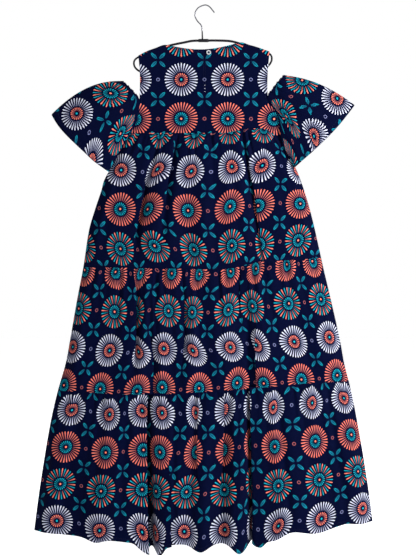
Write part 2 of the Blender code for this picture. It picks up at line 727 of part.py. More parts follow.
def curve_object(name, points, radius, thicknesses, material, collection, sides=2):
    """A round bar along points, with filled caps and a thickness for each point."""
    curve = bpy.data.curves.new(name, "CURVE")
    curve.dimensions = "3D"
    curve.bevel_depth = radius
    curve.bevel_resolution = sides
    curve.use_fill_caps = True
    spline = curve.splines.new("POLY")
    spline.points.add(len(points) - 1)
    for knot, point, thickness in zip(spline.points, points, thicknesses):
        knot.co = (*point, 1.0)
        knot.radius = thickness
    curve.materials.append(material)
    made = bpy.data.objects.new(name, curve)
    collection.objects.link(made)
    return made


def through(knots, steps):
    """Points of a smooth curve through knots, each a tuple of numbers."""
    points = []
    for i in range(len(knots) - 1):
        a = knots[max(i - 1, 0)]
        b, c = knots[i], knots[i + 1]
        d = knots[min(i + 2, len(knots) - 1)]
        for k in range(steps):
            p = k / steps
            points.append(tuple(
                0.5 * (2 * q + (r - o) * p + (2 * o - 5 * q + 4 * r - s) * p**2
                       + (3 * q - o - 3 * r + s) * p**3)
                for o, q, r, s in zip(a, b, c, d)))
    return points + [tuple(knots[-1])]


def make_button_loop(centre, material, collection):
    """A worked thread loop round the button, from the slit's other edge."""
    radius = BUTTON_RADIUS + LOOP_THREAD_RADIUS + SEAM_GAP
    height = centre.y + BUTTON_THICKNESS / 2 - LOOP_THREAD_RADIUS
    points = []
    for k in range(LOOP_STEPS + 1):
        angle = mix(LOOP_START, LOOP_END, k / LOOP_STEPS)
        x = centre.x + radius * math.cos(angle)
        points.append((x, height, centre.z + radius * math.sin(angle)))
    even = [1.0] * len(points)
    curve_object("button_loop", points, LOOP_THREAD_RADIUS, even, material, collection, 1)


def make_hanger(bar_material, wire_material, collection):
    right_end = BLOCK_X + BLOCK_LENGTH / 2 + SEAM_GAP
    left_end = BLOCK_X - BLOCK_LENGTH / 2 - SEAM_GAP
    knots = [
        (right_end, BLOCK_DROP, 1.0),
        (right_end + BAR_END_LENGTH, BLOCK_DROP - BAR_END_RISE, 1.0),
    ]
    knots += [tuple(row) for row in BAR]
    knots += [
        (left_end - BAR_END_LENGTH, BLOCK_DROP + BAR_END_FALL, 1.0),
        (left_end, BLOCK_DROP, 1.0),
    ]
    line = through(knots, BAR_STEPS)
    curve_object("hanger_frame", [(x, 0.0, -drop) for x, drop, _ in line], BAR_RADIUS,
                 [thickness for _, _, thickness in line], bar_material, collection)

    block = bmesh.new()
    bmesh.ops.create_cube(block, size=1.0)
    bmesh.ops.scale(block, vec=(BLOCK_LENGTH, BLOCK_DEPTH, BLOCK_HEIGHT), verts=block.verts[:])
    bmesh.ops.bevel(block, geom=block.edges[:], offset=BLOCK_BEVEL, affect="EDGES",
                    segments=2, profile=0.5, material=-1)
    bmesh.ops.translate(block, vec=(BLOCK_X, 0.0, -BLOCK_DROP), verts=block.verts[:])
    add_object("hanger_block", block, bar_material, collection)

    line = through([tuple(row) for row in HOOK], HOOK_STEPS)
    stem_foot = BLOCK_DROP - BLOCK_HEIGHT / 2 - SEAM_GAP
    line[0] = (line[0][0], stem_foot)
    thick = STEM_RADIUS / HOOK_WIRE_RADIUS
    thicknesses = [mix(thick, 1.0, min(1.0, k / STEM_TAPER_STEPS)) for k in range(len(line))]
    curve_object("hanger_hook", [(x, 0.0, -drop) for x, drop in line], HOOK_WIRE_RADIUS,
                 thicknesses, wire_material, collection)


# Scene

def clear_scene():
    for old in list(bpy.context.scene.objects):
        bpy.data.objects.remove(old, do_unlink=True)


def make_material(name):
    finish = FINISHES[name]
    material = bpy.data.materials.new(name)
    material.use_nodes = True
    shader = material.node_tree.nodes["Principled BSDF"]
    shader.inputs["Base Color"].default_value = finish.colour
    shader.inputs["Roughness"].default_value = finish.roughness
    shader.inputs["Metallic"].default_value = finish.metallic
    material.diffuse_color = finish.colour
    return material


def main():
    clear_scene()
    collection = bpy.data.collections.new("tiered dress")
    bpy.context.scene.collection.children.link(collection)
    materials = {name: make_material(name) for name in FINISHES}
    make_yokes(materials["cloth"], collection)
    make_tiers(materials["cloth"], collection)
    for name in SLEEVES:
        make_sleeve(name, materials["cloth"], collection)
    centre = make_button(materials["button"], collection)
    make_button_loop(centre, materials["thread"], collection)
    make_hanger(materials["hanger"], materials["wire"], collection)


main()
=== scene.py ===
"""A long tiered dress of printed cotton on a slim hanger, seen from its back.

Metres, +Z up. The origin is where the hook bears on a rail, so heights are given as a drop
below it. X runs across the dress and -Y is the side of its back. On a panel, a share goes
from 0 at its left edge to 1 at its right, and down from 0 at its top to 1 at its bottom.
"""

from collections import namedtuple
import math
import random

import bmesh
import bpy
from bpy.props import FloatProperty, FloatVectorProperty, IntProperty, PointerProperty
from mathutils import Matrix, Vector
import numpy as np


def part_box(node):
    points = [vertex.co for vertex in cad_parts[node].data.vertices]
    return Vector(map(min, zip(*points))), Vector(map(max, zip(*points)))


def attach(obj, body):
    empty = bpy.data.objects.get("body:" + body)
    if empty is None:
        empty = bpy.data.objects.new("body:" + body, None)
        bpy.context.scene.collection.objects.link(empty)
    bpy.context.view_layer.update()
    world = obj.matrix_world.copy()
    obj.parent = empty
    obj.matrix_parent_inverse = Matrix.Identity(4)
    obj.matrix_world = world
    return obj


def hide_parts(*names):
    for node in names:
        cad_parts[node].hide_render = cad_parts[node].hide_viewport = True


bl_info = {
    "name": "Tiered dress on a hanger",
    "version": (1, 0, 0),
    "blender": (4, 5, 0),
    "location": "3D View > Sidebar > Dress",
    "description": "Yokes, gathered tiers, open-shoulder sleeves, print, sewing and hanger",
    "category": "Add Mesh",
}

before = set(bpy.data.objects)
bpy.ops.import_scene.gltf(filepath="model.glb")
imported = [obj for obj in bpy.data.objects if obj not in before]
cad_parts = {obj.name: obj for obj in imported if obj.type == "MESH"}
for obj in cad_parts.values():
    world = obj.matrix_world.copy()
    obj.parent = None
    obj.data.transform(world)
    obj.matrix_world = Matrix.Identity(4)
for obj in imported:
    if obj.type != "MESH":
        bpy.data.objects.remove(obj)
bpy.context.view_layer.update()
BODY = "root"

# Cloth: gaps at seams, how it rolls over at the sides, and how near points are welded
SEAM_GAP = 0.0003
TIER_SEAM_GAP = 0.0004
SIDE_ROLL = 0.0035
ROLL_REACH = 0.0025
LENS_POWER = 2.6
WELD = 0.00001
CLOTH_UV = "cloth"

# Points that a panel has besides its even ones, from its sides, its seam and its hem
ROLL_COLUMNS = (0.0003, 0.0008, 0.0014, 0.0022, 0.0032, 0.0046, 0.0065, 0.0090)
TUCK_LENGTH = 0.004
TUCK_ROWS = (-TUCK_LENGTH, -0.0015, 0.0, 0.0010, 0.0025, 0.0045, 0.0070, 0.0100)
HEM_TURN = 0.010
HEM_ROWS = (0.0, 0.0010, HEM_TURN - 0.0006, HEM_TURN + 0.0006)
EDGE_TURN = 0.006
EDGE_COLUMNS = (0.0003, 0.0010, 0.0022, 0.0040, EDGE_TURN - 0.0005, EDGE_TURN + 0.0005)
EDGE_ROWS = (0.0, 0.0006, 0.0015, 0.0030, 0.0048, EDGE_TURN, 0.0072, 0.0100)
RIM_ROWS = (0.0, 0.0008, 0.0030, 0.0050, 0.0070)
EVEN_ROWS_FROM = 0.004
SLEEVE_EVEN_ROWS_FROM = 0.05

# The dress in sections from the shoulders to the hem: where its left and right edges
# lie, and how far its back and front stand out from the middle plane
Section = namedtuple("Section", "drop left right back front")
SECTIONS = (
    Section(0.131, -0.1895, 0.1853, 0.0070, 0.0070),
    Section(0.198, -0.1838, 0.1796, 0.0100, 0.0110),
    Section(0.262, -0.1847, 0.1800, 0.0125, 0.0140),
    Section(0.283, -0.1862, 0.1867, 0.0135, 0.0150),
    Section(0.308, -0.1895, 0.2075, 0.0145, 0.0160),
    Section(0.335, -0.2038, 0.2155, 0.0155, 0.0170),
    Section(0.367, -0.2237, 0.2195, 0.0170, 0.0185),
    Section(0.411, -0.2423, 0.2366, 0.0210, 0.0230),
    Section(0.471, -0.2722, 0.2636, 0.0250, 0.0270),
    Section(0.500, -0.2870, 0.2750, 0.0265, 0.0285),
    Section(0.525, -0.2935, 0.2836, 0.0280, 0.0300),
    Section(0.582, -0.3125, 0.3007, 0.0300, 0.0320),
    Section(0.639, -0.3290, 0.3149, 0.0310, 0.0330),
    Section(0.742, -0.3449, 0.3377, 0.0330, 0.0350),
    Section(0.839, -0.3634, 0.3605, 0.0380, 0.0400),
    Section(0.953, -0.3833, 0.3862, 0.0420, 0.0440),
    Section(1.020, -0.3960, 0.3985, 0.0440, 0.0460),
    Section(1.095, -0.4175, 0.4175, 0.0460, 0.0480),
    Section(1.181, -0.4375, 0.4346, 0.0500, 0.0520),
    Section(1.295, -0.4574, 0.4546, 0.0550, 0.0560),
    Section(1.409, -0.4745, 0.4717, 0.0580, 0.0600),
    Section(1.510, -0.4870, 0.4840, 0.0600, 0.0620),
)

# Seams and hem: the drop at each share of the width, from the left edge to the right
Level = namedtuple("Level", "share drop")
SEAMS = {
    "yoke_back": (
        Level(0.00, 0.3665), Level(0.04, 0.3643), Level(0.64, 0.3643), Level(0.70, 0.3586),
        Level(0.80, 0.3521), Level(0.90, 0.3530), Level(0.94, 0.3650), Level(0.975, 0.3790),
        Level(1.00, 0.3815),
    ),
    "yoke_front": (
        Level(0.00, 0.3665), Level(0.10, 0.3625), Level(0.50, 0.3600), Level(0.88, 0.3620),
        Level(0.96, 0.3780), Level(1.00, 0.3815),
    ),
    "tier_1_back": (
        Level(0.00, 0.7448), Level(0.41, 0.7505), Level(0.59, 0.7505), Level(0.67, 0.7420),
        Level(0.75, 0.7320), Level(1.00, 0.7192),
    ),
    "tier_1_front": (
        Level(0.00, 0.7448), Level(0.30, 0.7430), Level(0.60, 0.7380), Level(1.00, 0.7192),
    ),
    "tier_2_back": (
        Level(0.00, 1.0968), Level(0.28, 1.1054), Level(0.50, 1.0971), Level(0.70, 1.0854),
        Level(0.81, 1.0769), Level(1.00, 1.0698),
    ),
    "tier_2_front": (
        Level(0.00, 1.0968), Level(0.35, 1.0990), Level(0.65, 1.0890), Level(1.00, 1.0698),
    ),
    "hem_back": (
        Level(0.00, 1.4943), Level(0.10, 1.5020), Level(0.23, 1.5122), Level(0.347, 1.5250),
        Level(0.43, 1.5220), Level(0.55, 1.5210), Level(0.643, 1.5110), Level(0.70, 1.5150),
        Level(0.755, 1.4900), Level(0.83, 1.4955), Level(0.917, 1.4720), Level(0.96, 1.4725),
        Level(1.00, 1.4685),
    ),
    "hem_front": (
        Level(0.00, 1.4930), Level(0.20, 1.5060), Level(0.50, 1.5180), Level(0.70, 1.5020),
        Level(0.755, 1.4870), Level(0.83, 1.4900), Level(0.917, 1.4690), Level(1.00, 1.4680),
    ),
}

# Yoke: the shoulder line, the neckline's sag between the neck points, and the slit
SHOULDERS = (
    Level(0.000, 0.1420), Level(0.069, 0.1292), Level(0.131, 0.1207), Level(0.203, 0.1115),
    Level(0.785, 0.1044), Level(0.842, 0.1110), Level(0.903, 0.1175), Level(1.000, 0.1306),
)
NECK_LEFT = 0.203
NECK_RIGHT = 0.785
NECK_SAG = {"back": 0.0195, "front": 0.0750}
NECK_POWER = {"back": 1.0, "front": 2.6}
SHOULDER_RISE = 0.0050
SHOULDER_BLEND = 0.03
SLIT_SHARE = 0.504
SLIT_HALF_SHARE = 0.0003
SLIT_END = 0.477
SLIT_LAP = 0.0011
SLIT_LAP_STAND = 0.0008
SLIT_LAP_REACH = 0.006
SLIT_LAP_FADES = 0.03
SLIT_LAP_HELD = 0.06
YOKE_MEASURED_AT = 0.2

# How far the yoke's side edges stand out from the middle plane, down the armholes
ARMHOLE_STAND = (
    Level(0.00, 0.0060), Level(0.30, 0.0078), Level(0.62, 0.0085), Level(0.80, 0.0065),
    Level(0.93, 0.0030), Level(1.00, 0.0008),
)

# A yoke's creases fade out towards its sides, its top and its seam
CALM_SIDE = (0.004, 0.030)
CALM_TOP = (0.004, 0.020)
CALM_SEAM = (0.0, 0.012)

# Tiers: gathers across each panel, how far they stand, and how far down they run
Tier = namedtuple("Tier", "name above below gathers stand reach swell soft_folds soft_stand")
TIERS = (
    Tier("tier_1", "yoke", "tier_1", 15, 0.0058, 0.090, 0.0035, 5, 0.0060),
    Tier("tier_2", "tier_1", "tier_2", 20, 0.0068, 0.095, 0.0040, 6, 0.0080),
    Tier("tier_3", "tier_2", "hem", 24, 0.0070, 0.105, 0.0040, 7, 0.0130),
)
GATHER_RISE = 0.007
GATHERS_KEPT = 0.15
GATHER_UNEVENNESS = 0.28
GATHER_TURN = 2.4
GATHER_HEIGHT = 0.72
GATHER_HEIGHT_TURN = 1.9
GATHER_ROUNDNESS = 1.4
SWELL_KEPT = 0.4
SOFT_UNEVENNESS = 0.22
SOFT_TURN = 1.7
SOFT_FULL = 0.7
EDGE_CALM = 0.030
PHASES = {"back": 0.6, "front": 2.3}
HELD_LENGTH = 0.030

# Deep folds: a valley at a share of the width, its half width, its depth at the top,
# middle and bottom of the tier, and how far it drifts sideways on its way down
Fold = namedtuple("Fold", "place half_width top middle bottom drift")
FOLDS = {
    "tier_1_back": (
        Fold(0.218, 0.020, 0.0, 0.0070, 0.0, 0.0),
        Fold(0.330, 0.018, 0.0, 0.0050, 0.0, 0.0),
        Fold(0.746, 0.018, 0.0, 0.0070, 0.0, 0.0),
    ),
    "tier_1_front": (
        Fold(0.300, 0.020, 0.0, 0.0070, 0.0, 0.0),
        Fold(0.640, 0.018, 0.0, 0.0060, 0.0, 0.0),
    ),
    "tier_2_back": (
        Fold(0.228, 0.016, 0.0, 0.0110, 0.0, 0.026),
        Fold(0.283, 0.013, 0.0, 0.0100, 0.0060, 0.028),
        Fold(0.420, 0.018, 0.0, 0.0070, 0.0, 0.0),
        Fold(0.672, 0.015, 0.0, 0.0100, 0.0060, -0.020),
    ),
    "tier_2_front": (
        Fold(0.350, 0.016, 0.0, 0.0110, 0.0050, 0.010),
        Fold(0.610, 0.016, 0.0, 0.0100, 0.0, -0.010),
        Fold(0.790, 0.018, 0.0, 0.0070, 0.0, 0.0),
    ),
    "tier_3_back": (
        Fold(0.311, 0.013, 0.0060, 0.0220, 0.0320, 0.036),
        Fold(0.570, 0.020, 0.0, 0.0110, 0.0120, -0.020),
        Fold(0.652, 0.013, 0.0060, 0.0200, 0.0280, -0.010),
    ),
    "tier_3_front": (
        Fold(0.360, 0.014, 0.0050, 0.0190, 0.0270, 0.020),
        Fold(0.540, 0.018, 0.0, 0.0120, 0.0120, 0.0),
        Fold(0.720, 0.014, 0.0, 0.0160, 0.0250, -0.020),
    ),
}
DRIFT_REACH = 0.09

# Pleats, where the cloth is folded over itself: where the upper layer ends, from how far
# down to how far down it runs, how deep the under layer lies, how far it is overlapped, and
# whether the upper layer comes from the left (1) or from the right (-1)
Pleat = namedtuple("Pleat", "place start end depth overlap side")
PLEATS = {
    "tier_1_back": (
        Pleat(0.222, 0.20, 0.95, 0.0080, 0.012, 1),
        Pleat(0.330, -0.05, 0.65, 0.0040, 0.007, 1),
        Pleat(0.742, 0.08, 1.15, 0.0070, 0.010, -1),
    ),
    "tier_1_front": (
        Pleat(0.302, 0.12, 0.95, 0.0080, 0.011, 1),
        Pleat(0.640, -0.02, 0.80, 0.0060, 0.009, -1),
    ),
    "tier_2_back": (
        Pleat(0.228, -0.05, 0.82, 0.0100, 0.014, 1),
        Pleat(0.283, 0.44, 1.25, 0.0100, 0.013, 1),
        Pleat(0.424, 0.00, 0.85, 0.0080, 0.011, 1),
        Pleat(0.646, -0.06, 0.65, 0.0070, 0.010, -1),
        Pleat(0.690, 0.38, 1.25, 0.0090, 0.011, -1),
    ),
    "tier_2_front": (
        Pleat(0.350, 0.02, 1.22, 0.0070, 0.011, -1),
        Pleat(0.610, -0.05, 0.85, 0.0070, 0.011, 1),
        Pleat(0.790, 0.12, 0.95, 0.0050, 0.008, -1),
    ),
    "tier_3_back": (
        Pleat(0.311, -0.25, 1.30, 0.0150, 0.017, 1),
        Pleat(0.388, 0.32, 1.30, 0.0060, 0.010, 1),
        Pleat(0.480, -0.06, 0.65, 0.0050, 0.008, -1),
        Pleat(0.570, -0.12, 0.75, 0.0070, 0.010, 1),
        Pleat(0.652, -0.25, 1.30, 0.0130, 0.015, -1),
    ),
    "tier_3_front": (
        Pleat(0.360, -0.25, 1.30, 0.0130, 0.015, -1),
        Pleat(0.540, 0.12, 1.30, 0.0070, 0.010, 1),
        Pleat(0.720, -0.20, 1.30, 0.0130, 0.015, 1),
    ),
}
PLEAT_TURN = 0.40
PLEAT_LEAD = 1.05
PLEAT_RETURN = 0.034
PLEAT_FADE = 0.28
PLEAT_GRID = (-0.024, 0.010, 0.0013)
PLEAT_HIDES = 1.6
PLEAT_HIDES_FROM = 0.1

# How deep a pleat's under layers lie, in turns from its edge: none, all, and no more
PLEAT_SINKS = 0.15
PLEAT_SUNK = 1.3
PLEAT_RISES = 1.4

# Gathered cloth hangs a little askew: how far across as a share, and down in metres
ASKEW_ACROSS = 0.0065
ASKEW_DOWN = 0.0050
ASKEW_REACH = 0.55
ASKEW_WAVES_ACROSS = 4.3
ASKEW_WAVES_DOWN = 3.1

# A wave across a panel is made uneven by a second one, lower and closer
SECOND_HEIGHT = 0.6
SECOND_COUNT = 1.84
SECOND_PHASE = 2.1

# Close under a seam each gather crowds and stretches the print a little
CROWDED_ACROSS = 0.0018
CROWDED_DOWN = 0.0026
CROWDED_REACH = 0.15

# Lobes of the hem between its folds: place, half width and how low each hangs
Lobe = namedtuple("Lobe", "place half_width hang")
LOBES = {
    "tier_3_back": (
        Lobe(0.185, 0.028, 0.011), Lobe(0.325, 0.017, 0.030), Lobe(0.372, 0.018, 0.030),
        Lobe(0.489, 0.030, 0.021), Lobe(0.604, 0.027, 0.033), Lobe(0.665, 0.013, 0.020),
    ),
    "tier_3_front": (
        Lobe(0.200, 0.035, 0.009), Lobe(0.345, 0.020, 0.018), Lobe(0.410, 0.022, 0.020),
        Lobe(0.490, 0.022, 0.010), Lobe(0.585, 0.030, 0.014), Lobe(0.675, 0.020, 0.018),
        Lobe(0.730, 0.022, 0.004),
    ),
}
LOBE_POWER = 3

# Sleeves: stations across each flattened bell, evenly spaced from the fold under the arm to
# the fold on top, and where each is on the upper rim and on the hem
Station = namedtuple("Station", "rim_x rim_drop hem_x hem_drop")
SLEEVES = {
    "sleeve_left": (
        Station(-0.2120, 0.3680, -0.2725, 0.4748),
        Station(-0.1950, 0.3380, -0.3149, 0.4441),
        Station(-0.1870, 0.3020, -0.3434, 0.4171),
        Station(-0.1845, 0.2689, -0.3691, 0.3914),
        Station(-0.2024, 0.2446, -0.3947, 0.3629),
        Station(-0.2209, 0.2261, -0.4161, 0.3344),
        Station(-0.2323, 0.2161, -0.4332, 0.3073),
    ),
    "sleeve_right": (
        Station(0.2225, 0.3990, 0.2560, 0.4627),
        Station(0.2140, 0.3544, 0.2807, 0.4399),
        Station(0.2050, 0.3088, 0.3064, 0.4171),
        Station(0.1795, 0.2640, 0.3320, 0.3928),
        Station(0.1952, 0.2347, 0.3605, 0.3643),
        Station(0.2109, 0.2147, 0.3919, 0.3287),
        Station(0.2252, 0.1990, 0.4275, 0.2831),
    ),
}

# At the same stations, how far the middle of a bell lies towards the back, and how far its
# two layers stand from that middle
SleeveDepth = namedtuple("SleeveDepth", "rim_back rim_half hem_back hem_half")
SLEEVE_DEPTHS = (
    SleeveDepth(0.0125, 0.0060, 0.0120, 0.0060),
    SleeveDepth(0.0012, 0.0130, 0.0060, 0.0190),
    SleeveDepth(0.0000, 0.0106, 0.0030, 0.0220),
    SleeveDepth(0.0000, 0.0106, 0.0015, 0.0230),
    SleeveDepth(0.0000, 0.0125, 0.0000, 0.0230),
    SleeveDepth(0.0000, 0.0110, 0.0000, 0.0170),
    SleeveDepth(0.0000, 0.0080, 0.0000, 0.0080),
)

# Shape of the sleeves between rim and hem, their gathers and their crumpled upper rim
SLEEVE_TOP_BULGE = {"sleeve_left": 0.028, "sleeve_right": 0.018}
SLEEVE_ROUNDNESS = 0.75
SLEEVE_FULLNESS = 0.35
SLEEVE_GATHERS = 5
SLEEVE_GATHER_STAND = 0.0024
SLEEVE_GATHER_REACH = 0.16
FINE_GATHERS = 2.7
FINE_GATHER_PHASE = 1.3
FINE_GATHER_STAND = 0.7
SLEEVE_PHASES = {"sleeve_left": 2.8, "sleeve_right": 1.8}
SLEEVE_CALM_RIM = 0.12
SLEEVE_CALM_HEM = 0.08
RIM_CRUMPLE = 0.0018
RIM_CRUMPLE_REACH = 0.05
RIM_DRAWN_IN = 0.30
RIM_DRAWN_REACH = 0.045
RIM_CROWDED = 0.0022
RIM_CROWDS = 9
OPEN_EDGE_FROM = 0.50
OPEN_EDGE_FADE = (-0.05, 0.10)
SLEEVE_BULGE_POWER = 1.5
HEM_SHOWS = {"sleeve_left": 0.026, "sleeve_right": 0.006}
HEM_SHOWS_PLACE = 0.85
HEM_SHOWS_SPREAD = 0.30
UNDERARM_DETOUR = 0.030
UNDERARM_SHARPNESS = 3
UNDERARM_PLACE = 0.12
UNDERARM_SPREAD = 0.085
SLEEVE_FOLD_DEPTH = 0.004

# Puckers under a seam, the tuck into it, and how far turned hems and edges stand
PUCKERS_PER_GATHER = 3
PUCKER_STAND = 0.0019
PUCKER_REACH = 0.020
PUCKER_FROM = 0.003
TUCK_DEPTH = 0.0012
HEM_STAND = 0.0004
HEM_SLOPE = 0.0008
EDGE_STAND = 0.0005
EDGE_SLOPE = 0.0006
EDGE_ENDS = 0.9

# Troughs that gathers run out into, each drawn by lot between these limits
RUN_OUT_SHORTEST = 0.05
RUN_OUT_LONGEST = 0.26
RUN_OUT_SHARE = 0.02
RUN_OUT_DEPTH = 0.0030
RUN_OUT_SHALLOWEST = 0.2
RUN_OUT_END_DEPTH = 0.0003
RUN_OUT_DRIFT = 0.004
RUN_OUT_NARROWEST = 0.0035
RUN_OUT_WIDEST = 0.0075

# Slight unevenness of hanging cotton: long waves, and how high they are on each piece
Ripple = namedtuple("Ripple", "height across down phase")
RIPPLES = (
    Ripple(1.0, 47.0, 5.1, 1.0), Ripple(1.0, 83.0, -7.7, 2.1),
    Ripple(0.7, 31.0, 19.0, 3.3), Ripple(0.5, 127.0, 11.0, 1.0),
)
TIER_RIPPLE = 0.0012
YOKE_RIPPLE = 0.0007
SLEEVE_RIPPLE = 0.0010

# Creases: from one share of the width and height to another, half width, and depth at the
# start and at the end
CREASE_STARTS = 0.12
CREASE_ENDS = 0.25
CREASE_START_LEAD = 0.02
CREASE_END_LEAD = 0.03
CREASE_BELOW_SEAM = 0.004
Crease = namedtuple("Crease", "share down to_share to_down half_width start end")
CREASES = {
    "tier_1_back": (
        Crease(0.10, 0.10, 0.07, 0.95, 0.011, 0.0015, 0.0040),
        Crease(0.225, 0.05, 0.215, 0.90, 0.006, 0.0050, 0.0030),
        Crease(0.335, 0.05, 0.325, 0.80, 0.007, 0.0045, 0.0020),
        Crease(0.42, 0.30, 0.44, 1.00, 0.012, 0.0010, 0.0040),
        Crease(0.56, 0.05, 0.57, 0.60, 0.009, 0.0035, 0.0010),
        Crease(0.64, 0.20, 0.67, 0.98, 0.010, 0.0020, 0.0035),
        Crease(0.745, 0.04, 0.765, 0.92, 0.006, 0.0055, 0.0030),
        Crease(0.88, 0.15, 0.91, 0.95, 0.012, 0.0015, 0.0040),
    ),
    "tier_2_back": (
        Crease(0.08, 0.10, 0.06, 0.95, 0.011, 0.0020, 0.0045),
        Crease(0.17, 0.04, 0.16, 0.75, 0.007, 0.0040, 0.0015),
        Crease(0.305, 0.03, 0.33, 0.95, 0.006, 0.0050, 0.0040),
        Crease(0.37, 0.10, 0.385, 0.90, 0.009, 0.0025, 0.0040),
        Crease(0.47, 0.03, 0.48, 0.85, 0.008, 0.0045, 0.0020),
        Crease(0.56, 0.15, 0.565, 1.00, 0.011, 0.0020, 0.0045),
        Crease(0.75, 0.05, 0.77, 0.80, 0.008, 0.0040, 0.0015),
        Crease(0.85, 0.20, 0.88, 0.98, 0.013, 0.0020, 0.0045),
        Crease(0.94, 0.05, 0.955, 0.85, 0.009, 0.0030, 0.0020),
    ),
    "tier_3_back": (
        Crease(0.09, 0.08, 0.075, 0.98, 0.012, 0.0020, 0.0050),
        Crease(0.18, 0.03, 0.165, 0.80, 0.009, 0.0045, 0.0025),
        Crease(0.25, 0.10, 0.255, 1.00, 0.010, 0.0030, 0.0060),
        Crease(0.40, 0.04, 0.415, 0.96, 0.007, 0.0050, 0.0055),
        Crease(0.47, 0.03, 0.465, 0.70, 0.010, 0.0045, 0.0020),
        Crease(0.525, 0.25, 0.52, 1.00, 0.010, 0.0020, 0.0060),
        Crease(0.74, 0.03, 0.755, 1.00, 0.009, 0.0045, 0.0070),
        Crease(0.82, 0.15, 0.84, 0.95, 0.013, 0.0020, 0.0050),
        Crease(0.91, 0.05, 0.925, 0.98, 0.011, 0.0030, 0.0050),
    ),
    "tier_1_front": (
        Crease(0.12, 0.10, 0.09, 0.95, 0.011, 0.0015, 0.0040),
        Crease(0.29, 0.05, 0.28, 0.90, 0.007, 0.0050, 0.0030),
        Crease(0.45, 0.05, 0.44, 0.85, 0.008, 0.0040, 0.0020),
        Crease(0.52, 0.20, 0.54, 1.00, 0.012, 0.0015, 0.0040),
        Crease(0.66, 0.05, 0.68, 0.75, 0.007, 0.0045, 0.0015),
        Crease(0.80, 0.10, 0.83, 0.98, 0.010, 0.0025, 0.0040),
        Crease(0.90, 0.15, 0.92, 0.95, 0.012, 0.0015, 0.0040),
    ),
    "tier_2_front": (
        Crease(0.10, 0.05, 0.08, 0.95, 0.011, 0.0025, 0.0045),
        Crease(0.20, 0.04, 0.20, 0.75, 0.008, 0.0040, 0.0015),
        Crease(0.28, 0.15, 0.27, 0.98, 0.010, 0.0020, 0.0050),
        Crease(0.44, 0.03, 0.455, 0.90, 0.007, 0.0050, 0.0035),
        Crease(0.53, 0.10, 0.53, 1.00, 0.010, 0.0020, 0.0045),
        Crease(0.70, 0.03, 0.72, 0.80, 0.008, 0.0045, 0.0020),
        Crease(0.86, 0.10, 0.88, 0.98, 0.012, 0.0020, 0.0045),
        Crease(0.93, 0.05, 0.945, 0.70, 0.009, 0.0030, 0.0015),
    ),
    "tier_3_front": (
        Crease(0.08, 0.08, 0.065, 0.98, 0.012, 0.0020, 0.0050),
        Crease(0.16, 0.03, 0.15, 0.80, 0.009, 0.0045, 0.0025),
        Crease(0.27, 0.08, 0.28, 1.00, 0.010, 0.0030, 0.0060),
        Crease(0.44, 0.04, 0.45, 0.96, 0.008, 0.0050, 0.0055),
        Crease(0.50, 0.20, 0.495, 1.00, 0.011, 0.0020, 0.0050),
        Crease(0.63, 0.03, 0.64, 0.98, 0.008, 0.0045, 0.0060),
        Crease(0.80, 0.05, 0.82, 0.75, 0.010, 0.0040, 0.0020),
        Crease(0.90, 0.10, 0.915, 0.98, 0.012, 0.0030, 0.0050),
    ),
    "yoke_back": (
        Crease(0.08, 0.06, 0.30, 0.42, 0.012, 0.0012, 0.0002),
        Crease(0.92, 0.07, 0.72, 0.40, 0.012, 0.0012, 0.0002),
        Crease(0.06, 0.62, 0.24, 0.98, 0.011, 0.0014, 0.0004),
        Crease(0.94, 0.60, 0.78, 0.97, 0.011, 0.0014, 0.0004),
        Crease(0.36, 0.72, 0.40, 1.00, 0.014, 0.0002, 0.0012),
        Crease(0.63, 0.70, 0.60, 1.00, 0.014, 0.0002, 0.0012),
        Crease(0.50, 0.50, 0.49, 0.80, 0.009, 0.0012, 0.0002),
    ),
    "yoke_front": (
        Crease(0.08, 0.08, 0.26, 0.48, 0.012, 0.0012, 0.0002),
        Crease(0.92, 0.08, 0.76, 0.46, 0.012, 0.0012, 0.0002),
        Crease(0.06, 0.60, 0.26, 0.97, 0.011, 0.0014, 0.0004),
        Crease(0.94, 0.62, 0.74, 0.98, 0.011, 0.0014, 0.0004),
        Crease(0.50, 0.45, 0.50, 0.95, 0.016, 0.0012, 0.0004),
    ),
    "sleeve_left": (
        Crease(0.55, 0.02, 0.57, 0.70, 0.008, 0.0030, 0.0010),
        Crease(0.62, 0.02, 0.66, 0.85, 0.008, 0.0032, 0.0012),
        Crease(0.70, 0.02, 0.74, 0.60, 0.007, 0.0028, 0.0006),
        Crease(0.80, 0.10, 0.82, 0.95, 0.012, 0.0016, 0.0020),
        Crease(0.30, 0.02, 0.27, 0.75, 0.008, 0.0028, 0.0008),
        Crease(0.40, 0.02, 0.36, 0.85, 0.008, 0.0030, 0.0012),
        Crease(0.20, 0.10, 0.16, 0.95, 0.012, 0.0016, 0.0020),
    ),
    "sleeve_right": (
        Crease(0.55, 0.02, 0.57, 0.75, 0.008, 0.0030, 0.0010),
        Crease(0.63, 0.02, 0.67, 0.85, 0.008, 0.0032, 0.0012),
        Crease(0.72, 0.02, 0.75, 0.60, 0.007, 0.0028, 0.0006),
        Crease(0.81, 0.10, 0.83, 0.95, 0.012, 0.0016, 0.0020),
        Crease(0.29, 0.02, 0.25, 0.75, 0.008, 0.0028, 0.0008),
        Crease(0.38, 0.02, 0.34, 0.85, 0.008, 0.0030, 0.0012),
        Crease(0.19, 0.10, 0.15, 0.95, 0.012, 0.0016, 0.0020),
    ),
}

